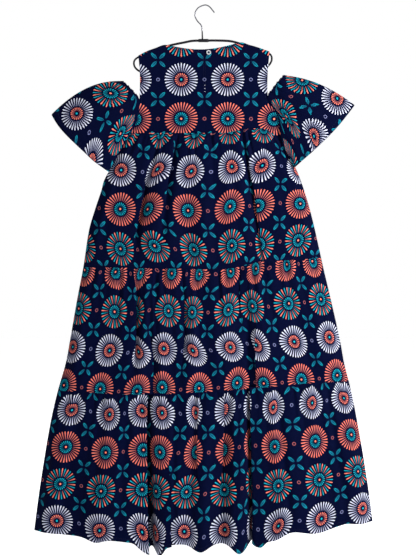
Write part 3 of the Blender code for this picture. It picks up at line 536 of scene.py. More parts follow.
# What each panel was cut to: its width at the top and at the bottom, its length, the share
# of that rectangle that is cloth, and where the print starts on it
Cut = namedtuple("Cut", "top bottom length filled print_across print_down")
CUTS = {
    "yoke_back": Cut(0.383, 0.450, 0.262, 0.84, 0.066, 0.012),
    "yoke_front": Cut(0.383, 0.450, 0.262, 0.76, 0.066, 0.012),
    "tier_1_back": Cut(0.620, 0.900, 0.388, 0.84, 0.040, 0.453),
    "tier_1_front": Cut(0.620, 0.900, 0.388, 0.84, 0.010, 0.445),
    "tier_2_back": Cut(1.120, 1.120, 0.362, 1.00, 0.010, 0.660),
    "tier_2_front": Cut(1.120, 1.120, 0.362, 1.00, 0.060, 0.640),
    "tier_3_back": Cut(1.300, 1.300, 0.430, 1.00, 0.045, 0.842),
    "tier_3_front": Cut(1.300, 1.300, 0.430, 1.00, 0.010, 0.870),
    "sleeve_left": Cut(0.440, 0.520, 0.220, 0.80, 0.060, 0.054),
    "sleeve_right": Cut(0.440, 0.520, 0.220, 0.74, 0.020, 0.054),
}

# Print: a daisy at the middle of each repeat, leaves round each corner, a ring between daisies
PRINT_EDGE = 0.00025
ROW_KINDS = 3
WHITE_ROW = 1
MIXED_ROW = 2
PETALS = 32
PETAL_FOOT = 0.25
PETAL_BLUNTNESS = 10
PETAL_SHADING = 0.8
PETAL_INNER = 0.0225
PETAL_OUTER = 0.0475
PETAL_HALF_WIDTH = 0.0020
HEART_PETALS = 18
HEART_INNER = 0.0080
HEART_OUTER = 0.0185
HEART_HALF_WIDTH = 0.0018
EYE_RADIUS = 0.0030
LEAF_PLACE = 0.0165
LEAF_HALF_LENGTH = 0.0125
LEAF_HALF_WIDTH = 0.0046
LEAF_VEIN = 0.00055
LEAF_EDGE = 0.05
RING_RADIUS = 0.0042
RING_HALF_WIDTH = 0.0010

# Cotton: how much its tone varies, its slubs and its weave, and its wrong side
PATCH_SCALE = 60.0
PATCH_VARIATION = 0.16
SLUB_SCALE = 900.0
WEAVE_BUMP = 0.25
WEAVE_DEPTH = 0.00012
SHEEN_ROUGHNESS = 0.5
WRONG_SIDE_LIGHT = 0.62
WRONG_SIDE_FADE = 0.10
FADED_NAVY = 2.0

# Finishes of the plain materials
Finish = namedtuple("Finish", "roughness grain variation specular metallic bump coat")
FINISHES = {
    "navy thread": Finish(0.70, 2400.0, 0.35, 0.20, 0.0, 0.20, 0.0),
    "pale thread": Finish(0.70, 2400.0, 0.15, 0.20, 0.0, 0.20, 0.0),
    "button shell": Finish(0.28, 500.0, 0.10, 0.50, 0.0, 0.05, 0.4),
    # Painted shade: the button's dished middle is coloured near-black for the shade in its recess
    "button well": Finish(0.35, 500.0, 0.20, 0.50, 0.0, 0.05, 0.0),
    "black hanger": Finish(0.50, 1400.0, 0.25, 0.15, 0.0, 0.15, 0.0),
    "hook steel": Finish(0.35, 3000.0, 0.12, 0.50, 1.0, 0.10, 0.0),
    "pale floor": Finish(0.90, 20.0, 0.01, 0.00, 0.0, 0.00, 0.0),
}
GRAIN_DEPTH = 0.0001
INKS = ("coral", "rose", "teal", "deep_teal", "white", "slate")

# Sewing: points along a line of stitches, and where the lines start and end
LINE_POINTS = 1200
LINE_STEP = 0.0008
STITCH_AHEAD = 0.001
STITCH_STAND = 0.4
SIDE_CLEAR = 0.012
NECK_CLEAR = 0.012
SLIT_CLEAR = 0.008
ARMHOLE_STITCHED = (0.03, 0.90)
SLIT_STITCHED_FROM = 0.035
SLEEVE_FOLD_CLEAR = 0.02
SLIT_STITCH_SHARE = 0.0075
Tack = namedtuple("Tack", "share down turn")
TACKS = (Tack(0.508, 0.430, 0.5), Tack(0.509, 0.468, 0.1), Tack(0.510, 0.506, -0.4))
TACK_LENGTH = 0.0036
TACK_RADIUS = 0.0009

# Button
ButtonRow = namedtuple("ButtonRow", "radius height")
BUTTON_OUTLINE = (
    ButtonRow(0.00, 0.35), ButtonRow(0.50, 0.35), ButtonRow(0.58, 0.55), ButtonRow(0.66, 0.85),
    ButtonRow(0.74, 0.98), ButtonRow(0.84, 1.00), ButtonRow(0.93, 0.85), ButtonRow(0.985, 0.50),
    ButtonRow(1.00, 0.10), ButtonRow(0.985, -0.50), ButtonRow(0.92, -0.88), ButtonRow(0.82, -1.00),
    ButtonRow(0.00, -1.00),
)
BUTTON_SPIN = 48
BUTTON_SHADED_WELL = 0.61
# Share of the radius out to which the button's dish, on the side facing the back, is painted dark as
# shade
BUTTON_HOLE = 0.13
BUTTON_HOLE_PLACE = 0.24
BUTTON_WELD = 0.000002
SHARP_ANGLE = math.radians(35)
BUTTON_THREAD_APART = 0.00056
BUTTON_THREAD_RADIUS = 0.00030
BUTTON_THREAD_REACH = 3.4
LOOP_THREAD_RADIUS = 0.0006
LOOP_START = math.radians(215)
LOOP_END = math.radians(505)
LOOP_STEPS = 48

# Hanger: one bar from the block round both ends, thinner at its end loops
LOOP_BAR_SHARE = 0.80
BLOCK_BEVEL = 0.0018
BarPoint = namedtuple("BarPoint", "x drop thickness")
BAR = (
    BarPoint(0.0700, 0.1008, 1.00), BarPoint(0.0960, 0.1065, 0.95),
    BarPoint(0.1240, 0.1165, 0.90), BarPoint(0.1510, 0.1245, 0.85),
    BarPoint(0.1725, 0.1305, 0.75), BarPoint(0.1850, 0.1370, LOOP_BAR_SHARE),
    BarPoint(0.1912, 0.1455, LOOP_BAR_SHARE), BarPoint(0.1905, 0.1585, LOOP_BAR_SHARE),
    BarPoint(0.1810, 0.1720, LOOP_BAR_SHARE), BarPoint(0.1620, 0.1800, 0.75),
    BarPoint(0.1200, 0.1855, 0.80), BarPoint(0.0000, 0.1900, 0.80),
    BarPoint(-0.1250, 0.1950, 0.80), BarPoint(-0.1640, 0.1945, 0.75),
    BarPoint(-0.1800, 0.1900, LOOP_BAR_SHARE), BarPoint(-0.1955, 0.1790, LOOP_BAR_SHARE),
    BarPoint(-0.2010, 0.1670, LOOP_BAR_SHARE), BarPoint(-0.1990, 0.1555, LOOP_BAR_SHARE),
    BarPoint(-0.1885, 0.1467, LOOP_BAR_SHARE), BarPoint(-0.1700, 0.1378, 0.75),
    BarPoint(-0.1400, 0.1265, 0.85), BarPoint(-0.1150, 0.1182, 0.90),
    BarPoint(-0.0925, 0.1118, 0.95), BarPoint(-0.0584, 0.1050, 1.00),
)
BAR_STEPS = 8
BAR_SHARP_ANGLE = math.radians(50)
HookPoint = namedtuple("HookPoint", "x drop")
HOOK = (
    HookPoint(-0.0060, 0.0950), HookPoint(-0.0062, 0.0860), HookPoint(-0.0068, 0.0719),
    HookPoint(-0.0086, 0.0583), HookPoint(-0.0117, 0.0528), HookPoint(-0.0182, 0.0463),
    HookPoint(-0.0228, 0.0400), HookPoint(-0.0262, 0.0320), HookPoint(-0.0272, 0.0240),
    HookPoint(-0.0250, 0.0158), HookPoint(-0.0196, 0.0078), HookPoint(-0.0110, 0.0020),
    HookPoint(0.0000, -0.0016), HookPoint(0.0080, -0.0006), HookPoint(0.0150, 0.0038),
    HookPoint(0.0219, 0.0118), HookPoint(0.0282, 0.0198),
)
HOOK_FINE_STEPS = 8
BAR_END_LENGTH = 0.02
BAR_END_RISE = 0.0002
BAR_END_FALL = 0.0012
HOOK_WIRE_RADIUS = 0.0018
STEM_RADIUS = 0.0024
COATING_TOP = 0.0700
COATING_TIP = 0.72
BAR_RADIUS = 0.0034
BAR_SEATED = 0.0010
COLLAR_INSET = 0.0005
COLLAR_RADIUS = 0.0040
COLLAR_LENGTH = 0.0030

# Stage: the picture is 416 pixels wide and 555 high, and this is the dress's size for a pixel
PIXEL = 0.00285
PICTURE_HEIGHT = 555 * PIXEL
VIEW_MIDDLE_X = 0.009975
VIEW_MIDDLE_Z = -0.77474
SENSOR = 36.0
WHITE = (1.0, 1.0, 1.0, 1.0)
FLOOR_RADIUS = 14.0
FLOOR_HEIGHT = -1.585
BACKDROP_FADE = (-0.2, 0.6)
HORIZON_FADE = (0.16, 0.36)
Lamp = namedtuple("Lamp", "name size watts x y z")
LAMPS = (
    Lamp("key", 1.0, 185.0, 2.5, -1.6, 0.4),
    Lamp("fill", 2.4, 22.0, -2.2, -2.8, 0.8),
    Lamp("back", 2.0, 30.0, 0.6, 2.8, 0.9),
)


# Reading tables

def column_of(rows, number):
    """One column of a table."""
    return np.array([row[number] for row in rows])


def smooth(rows, at, number):
    """A smooth curve through one column of a table, read at places in its first column."""
    places = column_of(rows, 0)
    values = column_of(rows, number)
    slopes = np.empty(len(rows))
    slopes[1:-1] = (values[2:] - values[:-2]) / (places[2:] - places[:-2])
    slopes[0] = (values[1] - values[0]) / (places[1] - places[0])
    slopes[-1] = (values[-1] - values[-2]) / (places[-1] - places[-2])
    at = np.clip(at, places[0], places[-1])
    i = np.clip(np.searchsorted(places, at, side="right") - 1, 0, len(rows) - 2)
    span = places[i + 1] - places[i]
    p = (at - places[i]) / span
    start = (2 * p**3 - 3 * p**2 + 1) * values[i] + (p**3 - 2 * p**2 + p) * span * slopes[i]
    end = (3 * p**2 - 2 * p**3) * values[i + 1] + (p**3 - p**2) * span * slopes[i + 1]
    return start + end


def mix(first, second, share):
    """First at a share of 0, second at a share of 1."""
    return first + (second - first) * share


def bell(distance):
    """1 at no distance, and falling softly to 0 on both sides."""
    return np.exp(-distance * distance)


def step(low, high, value):
    """A soft step from 0 at low to 1 at high."""
    share = np.clip((value - low) / (high - low), 0.0, 1.0)
    return share * share * (3 - 2 * share)


def crease_depth(rows, share, down, width, height):
    """How deep creases lie at places of a panel of that width and height."""
    total = np.zeros_like(share)
    for row in rows:
        across_run = (row.to_share - row.share) * width
        down_run = (row.to_down - row.down) * height
        x = (share - row.share) * width
        y = (down - row.down) * height
        along = np.clip((x * across_run + y * down_run) / (across_run**2 + down_run**2), 0.0, 1.0)
        distance = np.hypot(x - along * across_run, y - along * down_run)
        starts = step(0.0, CREASE_STARTS, along + CREASE_START_LEAD)
        ends = step(0.0, CREASE_ENDS, 1 + CREASE_END_LEAD - along)
        total += mix(row.start, row.end, along) * starts * ends * bell(distance / row.half_width)
    return total


# Body of the dress

def half_depth(side, drop):
    """How far the back or the front stands out from the middle plane at most."""
    return smooth(SECTIONS, drop, Section._fields.index(side))


def across(share, drop):
    """X at a share of the width."""
    left = smooth(SECTIONS, drop, Section._fields.index("left"))
    right = smooth(SECTIONS, drop, Section._fields.index("right"))
    return mix(left, right, share)


def lens(share):
    """The dress's cross-section: 0 at both sides and 1 in the middle."""
    return 1 - abs(2 * share - 1) ** LENS_POWER


def inset(share, drop):
    """Distance from the nearer side edge."""
    width = across(1.0, drop) - across(0.0, drop)
    return np.minimum(share, 1 - share) * width


def body_stand(side, share, drop):
    """How far a tier's plain surface stands out from the middle plane."""
    rolled = SIDE_ROLL * (1 - np.exp(-inset(share, drop) / ROLL_REACH))
    return SEAM_GAP / 2 + rolled + (half_depth(side, drop) - SIDE_ROLL) * lens(share)


def gather_edges(count, phase):
    """Where the gathers of a panel meet, unevenly spaced across its width."""
    k = np.arange(1, count)
    between = (k + GATHER_UNEVENNESS * np.sin(GATHER_TURN * k + phase)) / count
    return np.concatenate([[0.0], between, [1.0]])


def gather_wave(edges, phase, share):
    """0 where two gathers meet and up to 1 on top of a gather, some lower than others."""
    k = np.clip(np.searchsorted(edges, share, side="right") - 1, 0, len(edges) - 2)
    local = (share - edges[k]) / (edges[k + 1] - edges[k])
    height = mix(GATHER_HEIGHT, 1.0, np.sin(GATHER_HEIGHT_TURN * k + phase))
    return height * np.maximum(0.0, np.sin(math.pi * local)) ** GATHER_ROUNDNESS


def soft_wave(count, phase, share):
    """Broad folds that the gathers run out into."""
    turn = count * share + SOFT_UNEVENNESS * np.sin(2 * math.pi * share * SOFT_TURN + phase)
    return 0.5 - 0.5 * np.cos(2 * math.pi * turn)


def ripple(x, drop, phase, height):
    """Slight unevenness of hanging cotton, in a few long waves."""
    waves = sum(row.height * np.sin(row.across * x + row.down * drop + row.phase * phase)
                for row in RIPPLES)
    return height * waves / sum(row.height for row in RIPPLES)


def uneven_wave(count, phase, share):
    """A wave across a panel that doesn't repeat evenly."""
    turn = 2 * math.pi * share
    second = np.sin(SECOND_COUNT * count * turn + SECOND_PHASE * phase)
    return np.sin(count * turn + phase) + SECOND_HEIGHT * second


def run_along(points, axis):
    """The length of cloth from the first row or column to each point."""
    steps = np.linalg.norm(np.diff(points, axis=axis), axis=-1)
    return np.cumsum(np.insert(steps, 0, 0.0, axis=axis), axis=axis)


def even_and_fine(first, count, *fine):
    """Even shares from the first to 1, with finer ones among them, in order."""
    return np.unique(np.concatenate([np.linspace(first, 1.0, count), *fine]))


class TierPanel:
    """One side of one tier, as a surface over its width and its height."""

    def __init__(self, tier, side):
        self.tier = tier
        self.side = side
        self.name = f"{tier.name}_{side}"
        self.phase = PHASES[side]
        self.edges = gather_edges(tier.gathers, self.phase)
        self.above = SEAMS[f"{tier.above}_{side}"]
        self.below = SEAMS[f"{tier.below}_{side}"]
        self.is_last = tier.below == "hem"
        self.facing = -1 if side == "back" else 1
        self.height = float(np.mean(self.seam(self.below, 0.5) - self.seam(self.above, 0.5)))
        self.width = float(across(1.0, self.above[0].drop) - across(0.0, self.above[0].drop))
        self.run_outs = self.gather_creases()

    def seam(self, rows, share):
        return smooth(rows, np.asarray(share, dtype=float), 1)

    def gather_creases(self):
        """Troughs that run down from where gathers meet, each of its own length."""
        chance = random.Random(self.name)
        rows = []
        for edge in self.edges[1:-1]:
            for shift in (0.0, 0.5 / self.tier.gathers):
                length = chance.uniform(RUN_OUT_SHORTEST, RUN_OUT_LONGEST) * chance.random()
                depth = RUN_OUT_DEPTH * chance.uniform(RUN_OUT_SHALLOWEST, 1.0)
                place = edge + shift
                end = place + chance.gauss(0.0, RUN_OUT_DRIFT)
                half_width = chance.uniform(RUN_OUT_NARROWEST, RUN_OUT_WIDEST)
                rows.append(Crease(place, 0.0, end, RUN_OUT_SHARE + length / self.height,
                                   half_width, depth, RUN_OUT_END_DEPTH))
        return rows

    def columns(self, count):
        """Shares across, closer together at the sides and round each pleat."""
        rolled = np.array(ROLL_COLUMNS) / self.width
        even = np.linspace(0.0, 1.0, count)
        near = [pleat.place + pleat.side * np.arange(*PLEAT_GRID) / self.width
                for pleat in PLEATS[self.name]]
        for fine in near:
            even = even[(even < fine.min()) | (even > fine.max())]
        return np.unique(np.concatenate([even, rolled, 1 - rolled, *near]))

    def rows(self, count):
        """Shares down, from the tuck inside the seam to the lower edge."""
        tucked = np.array(TUCK_ROWS) / self.height
        ended = 1 - np.array(HEM_ROWS) / self.height
        return even_and_fine(tucked[-1] + EVEN_ROWS_FROM, count, tucked, ended)

    def lobes(self, share, down):
        """How far the hem's lobes hang below its even line."""
        hang = np.zeros_like(share)
        for lobe in LOBES.get(self.name, ()):
            hang += lobe.hang * bell((share - lobe.place) / lobe.half_width)
        return hang * np.maximum(0.0, down) ** LOBE_POWER

    def pleat(self, column, down):
        """How far the cloth is folded sideways, and how deep its under layers lie."""
        shift = np.zeros_like(column)
        depth = np.zeros_like(column)
        for pleat in PLEATS[self.name]:
            off, runs = self.from_pleat(pleat, column, down)
            turn = PLEAT_TURN * pleat.overlap
            shift += pleat.side * pleat.overlap * bell(off / turn) * runs
            back = 1 - step(PLEAT_RISES * turn, PLEAT_RISES * turn + PLEAT_RETURN, off)
            depth += pleat.depth * step(PLEAT_SINKS * turn, PLEAT_SUNK * turn, off) * back * runs
        return shift, depth

    def from_pleat(self, pleat, column, down):
        """How far places lie under a pleat's upper layer, and how much of it there is there."""
        off = (column - pleat.place) * self.width * pleat.side + PLEAT_LEAD * pleat.overlap
        runs = step(pleat.start, pleat.start + PLEAT_FADE, down)
        return off, runs * step(pleat.end, pleat.end - PLEAT_FADE, down)

    def drifted(self, column, down):
        """Shares of the width, where folds carry the cloth sideways on its way down."""
        share = column.copy()
        for fold in FOLDS[self.name]:
            away = bell((column - fold.place) / DRIFT_REACH)
            share += fold.drift * np.maximum(0.0, down) * away
        return share

    def fullness(self, column, share, down, drop, below_seam):
        """How far gathers, soft folds and unevenness stand out."""
        tier = self.tier
        under = np.maximum(0.0, below_seam)
        run_out = np.exp(-under / tier.reach)
        swell = tier.swell * (1 - np.exp(-under / GATHER_RISE)) * mix(SWELL_KEPT, 1.0, run_out)
        gathers = tier.stand * gather_wave(self.edges, self.phase, column)
        gathers *= mix(GATHERS_KEPT, 1.0, run_out)
        soft = tier.soft_stand * soft_wave(tier.soft_folds, self.phase, column)
        soft *= step(0.0, SOFT_FULL, down)
        return swell + gathers + soft + ripple(across(share, drop), drop, self.phase, TIER_RIPPLE)

    def puckers(self, column, below_seam):
        """Fine puckers close under the seam."""
        wave = soft_wave(self.tier.gathers * PUCKERS_PER_GATHER, self.phase, column)
        fading = np.exp(-np.maximum(0.0, below_seam) / PUCKER_REACH)
        return wave * PUCKER_STAND * fading * step(0.0, PUCKER_FROM, below_seam)

    def fold_depth(self, share, down):
        """How deep the panel's deep folds lie."""
        total = np.zeros_like(share)
        for fold in FOLDS[self.name]:
            centre = fold.place + fold.drift * np.maximum(0.0, down)
            rows = ((0.0, fold.top), (0.5, fold.middle), (1.0, fold.bottom))
            total += smooth(rows, down, 1) * bell((share - centre) / fold.half_width)
        return total

    def surface(self, column, down):
        """X, Y and Z at columns of the panel and shares of its height."""
        share = self.drifted(column, down)
        top = self.seam(self.above, share) + TIER_SEAM_GAP / 2
        bottom = self.seam(self.below, share)
        if not self.is_last:
            bottom = bottom - TIER_SEAM_GAP / 2
        drop = mix(top, bottom, down)
        below_seam = drop - top
        held = 1.0 if self.is_last else step(0.0, HELD_LENGTH, bottom - drop)
        free = step(0.0, GATHER_RISE * 2, below_seam) * held
        edge = step(0.0, EDGE_CALM, inset(share, drop))
        creases = crease_depth(CREASES[self.name], share, down, self.width, self.height)
        creases += crease_depth(self.run_outs, column, down, self.width, self.height)
        shift, depth = self.pleat(column, down)
        stand = body_stand(self.side, share, drop) - self.fold_depth(share, down)
        stand += self.fullness(column, share, down, drop, below_seam) * free * edge
        stand += self.puckers(column, below_seam) * edge
        stand -= creases * edge * step(0.0, CREASE_BELOW_SEAM, below_seam) * held
        stand -= TUCK_DEPTH * step(0.0, TUCK_LENGTH / 2, -below_seam) + depth * edge
        if self.is_last:
            stand += HEM_STAND * step(HEM_TURN + HEM_SLOPE, HEM_TURN - HEM_SLOPE, bottom - drop)
        hung = drop + self.lobes(share, down)
        return across(share, hung) + shift, self.facing * stand, -hung

    def cloth_place(self, column, down, points):
        """Where points lie on the flat cloth, with what its pleats hide folded in."""
        cut = CUTS[self.name]
        run = run_along(points, 1)
        for pleat in PLEATS[self.name]:
            off, runs = self.from_pleat(pleat, column, down)
            folded_in = step(PLEAT_HIDES_FROM * pleat.overlap, pleat.overlap, off)
            run += pleat.side * PLEAT_HIDES * pleat.overlap * folded_in * runs
        run -= run[:, :1]
        share = run / run[:, -1:]
        below = np.maximum(0.0, down)
        askew = ASKEW_ACROSS * np.exp(-below / ASKEW_REACH)
        share += askew * uneven_wave(ASKEW_WAVES_ACROSS, self.phase, column)
        low = cut.print_down + down * cut.length
        low += ASKEW_DOWN * uneven_wave(ASKEW_WAVES_DOWN, self.phase + 1, column)
        crowded = np.exp(-below / CROWDED_REACH)
        share += CROWDED_ACROSS * crowded * uneven_wave(self.tier.gathers, self.phase, column)
        low += CROWDED_DOWN * crowded * uneven_wave(self.tier.gathers, self.phase + 2, column)
        width = mix(cut.top, cut.bottom, np.clip(down, 0.0, 1.0))
        return cut.print_across + (share - 0.5) * width, -low


class YokePanel:
    """The back or the front yoke: flat at the shoulders, open at the neck and armholes."""

    def __init__(self, side):
        self.side = side
        self.name = f"yoke_{side}"
        self.below = SEAMS[self.name]
        self.facing = -1 if side == "back" else 1
        self.width = float(across(1.0, YOKE_MEASURED_AT) - across(0.0, YOKE_MEASURED_AT))
        self.height = float(self.below[0].drop - SHOULDERS[0].drop)

    def columns(self, count):
        """Shares across, closer together at the armholes and at the slit's edges."""
        edges = np.array(EDGE_COLUMNS) / self.width
        shares = even_and_fine(0.0, count, edges, 1 - edges, [NECK_LEFT, NECK_RIGHT])
        if self.side == "back":
            beside_slit = SLIT_SHARE + SLIT_HALF_SHARE * np.array([-3, -1, 1, 3])
            clear = abs(shares - SLIT_SHARE) > 2 * SLIT_HALF_SHARE
            shares = np.unique(np.concatenate([shares[clear], beside_slit]))
        return shares

    def rows(self, count):
        """Shares down, closer together at the top, with one where the slit ends."""
        top = np.array(EDGE_ROWS) / self.height
        return even_and_fine(top[-1] + EVEN_ROWS_FROM, count, top, [SLIT_END])

    def top(self, share):
        """The drop of the shoulder seams and of the neckline between them."""
        drop = smooth(SHOULDERS, share, 1)
        along = np.clip((share - NECK_LEFT) / (NECK_RIGHT - NECK_LEFT), 0.0, 1.0)
        return drop + NECK_SAG[self.side] * np.sin(math.pi * along) ** NECK_POWER[self.side]

    def on_shoulder(self, share):
        """1 on the shoulder seams and 0 along the open neck."""
        left = 1 - step(NECK_LEFT, NECK_LEFT + SHOULDER_BLEND, share)
        right = step(NECK_RIGHT - SHOULDER_BLEND, NECK_RIGHT, share)
        return np.maximum(left, right)

    def surface(self, share, down):
        """X, Y and Z at shares of the yoke's width and height."""
        top = self.top(share)
        bottom = smooth(self.below, share, 1) - TIER_SEAM_GAP / 2
        drop = mix(top, bottom, down)
        fallen = np.minimum(1.0, (drop - top) / SHOULDER_RISE)
        rounded = np.sqrt(np.maximum(0.0, 1 - (1 - fallen) ** 2))
        shoulder = self.on_shoulder(share)
        rise = mix(1.0, rounded, shoulder)
        edge = smooth(ARMHOLE_STAND, down, 1)
        near = inset(share, drop)
        rolled = edge + SIDE_ROLL * (1 - np.exp(-near / ROLL_REACH))
        rolled = np.minimum(rolled, np.maximum(edge, SIDE_ROLL))
        stand = rolled + np.maximum(0.0, half_depth(self.side, drop) - rolled) * lens(share)
        calm = step(*CALM_SIDE, near) * step(*CALM_TOP, drop - top) * step(*CALM_SEAM, bottom - drop)
        x = across(share, drop)
        stand -= crease_depth(CREASES[self.name], share, down, self.width, self.height) * calm
        stand += ripple(x, drop, PHASES[self.side], YOKE_RIPPLE) * calm
        armhole = self.turned_edge(near) * step(1.0, EDGE_ENDS, down)
        neck = self.turned_edge(drop - top) * (1 - shoulder)
        stand += EDGE_STAND * np.maximum(armhole, neck)
        if self.side == "back":
            lap = self.lap(share, down)
            x += SLIT_LAP * np.maximum(0.0, lap)
            stand += SLIT_LAP_STAND * lap
        return x, self.facing * (SEAM_GAP / 2 + stand * rise), -drop

    def turned_edge(self, near):
        """1 on the cloth that is turned in along an open edge, and 0 beyond it."""
        return step(EDGE_TURN + EDGE_SLOPE, EDGE_TURN - EDGE_SLOPE, near)

    def lap(self, share, down):
        """The slit's edges overlap: towards 1 on its left edge and -1 on its right edge."""
        near = bell((share - SLIT_SHARE) * self.width / SLIT_LAP_REACH)
        near *= step(0.0, SLIT_LAP_FADES, down)
        near *= step(SLIT_END + SLIT_LAP_FADES, SLIT_END - SLIT_LAP_HELD, down)
        return np.where(share < SLIT_SHARE, near, -near)

    def cloth_place(self, share, down, points):
        """Where points lie on the flat cloth: a yoke hangs flat, so just where they are."""
        cut = CUTS[self.name]
        return cut.print_across + points[..., 0], points[..., 2] - cut.print_down


class Sleeve:
    """A flattened bell, as a surface round its loop and from its upper rim to its hem."""

    def __init__(self, name):
        self.name = name
        self.stations = SLEEVES[name]
        self.bulge = SLEEVE_TOP_BULGE[name]
        self.phase = SLEEVE_PHASES[name]
        self.facing = 1 if name == "sleeve_left" else -1
        self.width = CUTS[name].bottom
        self.height = CUTS[name].length

    def columns(self, count):
        """Shares round the loop."""
        return np.linspace(0.0, 1.0, count)

    def rows(self, count):
        """Shares from the upper rim to the hem, closer together at both."""
        started = np.array(RIM_ROWS) / self.height
        ended = 1 - np.array(HEM_ROWS) / self.height
        return even_and_fine(SLEEVE_EVEN_ROWS_FROM, count, started, ended)

    def edge(self, name, up):
        """X, drop, place towards the back and half depth of the rim or of the hem."""
        columns = [[getattr(row, f"{name}_{part}") for row in rows]
                   for rows, parts in ((self.stations, ("x", "drop")), (SLEEVE_DEPTHS, ("back", "half")))
                   for part in parts]
        places = np.linspace(0.0, 1.0, len(self.stations))
        return [smooth(list(zip(places, column)), up, 1) for column in columns]

    def crumples(self, up, down):
        """Waves of the gathered upper rim: how far they stand out, and how far they hang."""
        open_edge = step(OPEN_EDGE_FROM + OPEN_EDGE_FADE[0], OPEN_EDGE_FROM + OPEN_EDGE_FADE[1], up)
        turn = 2 * math.pi * SLEEVE_GATHERS * (up - OPEN_EDGE_FROM) / (1 - OPEN_EDGE_FROM)
        wide = np.sin(turn)
        fine = np.sin(FINE_GATHERS * turn + FINE_GATHER_PHASE)
        stand = wide * np.exp(-down / SLEEVE_GATHER_REACH)
        stand += FINE_GATHER_STAND * fine * np.exp(-down / (SLEEVE_GATHER_REACH / 2))
        hang = RIM_CRUMPLE * (fine + wide) * np.exp(-down / RIM_CRUMPLE_REACH)
        return SLEEVE_GATHER_STAND * stand * open_edge, hang * open_edge

    def surface(self, round_share, down):
        """X, Y and Z at shares of the loop and of the way from the rim to the hem."""
        angle = 2 * math.pi * round_share
        up = (1 - np.cos(angle)) / 2
        sine = np.sin(angle)
        turned = np.sign(sine) * abs(sine) ** SLEEVE_ROUNDNESS
        front = np.clip(-turned * UNDERARM_SHARPNESS, 0.0, 1.0)
        longer = HEM_SHOWS[self.name] * front * bell((up - HEM_SHOWS_PLACE) / HEM_SHOWS_SPREAD)
        x, drop, back, half = (mix(rim, hem, down * (1 + longer))
                               for rim, hem in zip(self.edge("rim", up), self.edge("hem", up)))
        belly = 4 * down * (1 - down)
        stand, hang = self.crumples(up, down)
        drop = drop - self.bulge * belly * up**SLEEVE_BULGE_POWER + hang
        half = half * (1 + SLEEVE_FULLNESS * belly) + stand
        calm = step(0.0, SLEEVE_CALM_RIM, down) * step(0.0, SLEEVE_CALM_HEM, 1 - down) * abs(sine)
        creases = crease_depth(CREASES[self.name], round_share, down, self.width, self.height)
        half = half + (ripple(x, drop, self.phase, SLEEVE_RIPPLE) - creases) * calm
        detour = UNDERARM_DETOUR * bell((up - UNDERARM_PLACE) / UNDERARM_SPREAD)
        x = x - self.facing * detour * (1 - down) * front
        return x, -(back + half * turned), -drop

    def cloth_place(self, round_share, down, points):
        """True lengths of cloth, with more of it drawn in at the upper rim."""
        cut = CUTS[self.name]
        around = run_along(points, 1)
        along = run_along(points, 0)
        near_rim = np.exp(-along / RIM_DRAWN_REACH)
        crowds = RIM_CROWDED * near_rim * uneven_wave(RIM_CROWDS, self.phase, round_share)
        from_middle = around - around[:, -1:] / 2
        x = cut.print_across + from_middle * (1 + RIM_DRAWN_IN * near_rim) + crowds
        return x, -(cut.print_down + along + crowds)


# Building meshes

def finish_piece(name, builder, materials):
    """An object at the origin that rides with the dress."""
    if not builder.faces:
        raise RuntimeError(f"{name} came out with no faces")
    mesh = bpy.data.meshes.new(name)
    builder.to_mesh(mesh)
    builder.free()
    for material in materials:
        mesh.materials.append(material)
    mesh.shade_smooth()
    piece = bpy.data.objects.new(name, mesh)
    bpy.context.scene.collection.objects.link(piece)
    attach(piece, BODY)
    return piece


def points_of(panel, columns, rows):
    """The panel's grid as X, Y, Z arrays, and where each point lies on the flat cloth."""
    share, down = np.meshgrid(columns, rows)
    x, y, z = panel.surface(share, down)
    points = np.stack([x, y, z], axis=-1)
    return points, np.stack(panel.cloth_place(share, down, points), axis=-1)


def in_slit(columns, rows, number):
    """True for a cell of the grid between the slit's two edges and above its end."""
    row, cell = divmod(number, len(columns) - 1)
    middle = (columns[cell] + columns[cell + 1]) / 2
    return abs(middle - SLIT_SHARE) < SLIT_HALF_SHARE and rows[row + 1] <= SLIT_END


def cloth_grid(panel, columns, rows, tube=False, slit=False):
    """A bmesh sheet on the panel's surface, with the flat cloth as its UV map."""
    points, flat = points_of(panel, columns, rows)
    builder = bmesh.new()
    bmesh.ops.create_grid(builder, x_segments=len(columns) - 1, y_segments=len(rows) - 1, size=1.0)
    for vertex, place in zip(builder.verts, points.reshape(-1, 3).tolist()):
        vertex.co = place
    cloth_places = flat.reshape(-1, 2).tolist()
    layer = builder.loops.layers.uv.new(CLOTH_UV)
    for face in builder.faces:
        for loop in face.loops:
            loop[layer].uv = cloth_places[loop.vert.index]
    if slit:
        builder.faces.ensure_lookup_table()
        gone = [face for number, face in enumerate(builder.faces) if in_slit(columns, rows, number)]
        bmesh.ops.delete(builder, geom=gone, context="FACES")
    if tube:
        ends = [vertex for number, vertex in enumerate(builder.verts)
                if number % len(columns) in (0, len(columns) - 1)]
        bmesh.ops.remove_doubles(builder, verts=ends, dist=WELD)
    builder.normal_update()
    return builder


def face_outward(builder, outward):
    """Turns the whole sheet round if most of its faces look away from outward(place)."""
    agreement = sum(face.normal.dot(outward(face.calc_center_median())) * face.calc_area()
                    for face in builder.faces)
    if agreement < 0:
        bmesh.ops.reverse_faces(builder, faces=builder.faces[:])


def cloth_piece(panel, columns, rows, materials, outward, **grid):
    """One cut piece of the dress, a thin wall with the printed side out."""
    builder = cloth_grid(panel, columns, rows, **grid)
    face_outward(builder, outward)
    piece = finish_piece(f"{panel.name}_cloth", builder, materials)
    wall = piece.modifiers.new("cloth", "SOLIDIFY")
    wall.thickness = bpy.context.scene.dress_cloth.thickness
    wall.offset = -1.0
    wall.material_offset = 1
    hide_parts(panel.name)
    return piece


def declare(name):
    """Works out how large the piece is when it lies flat, and keeps nothing of it."""
    cut = CUTS[name]
    width = max(cut.top, cut.bottom)
    width * cut.length * cut.filled


def panel_settings():
    """How many points a panel has across and down."""
    cloth = bpy.context.scene.dress_cloth
    kept = 1.0
    return int(cloth.columns * kept), int(cloth.rows * kept)


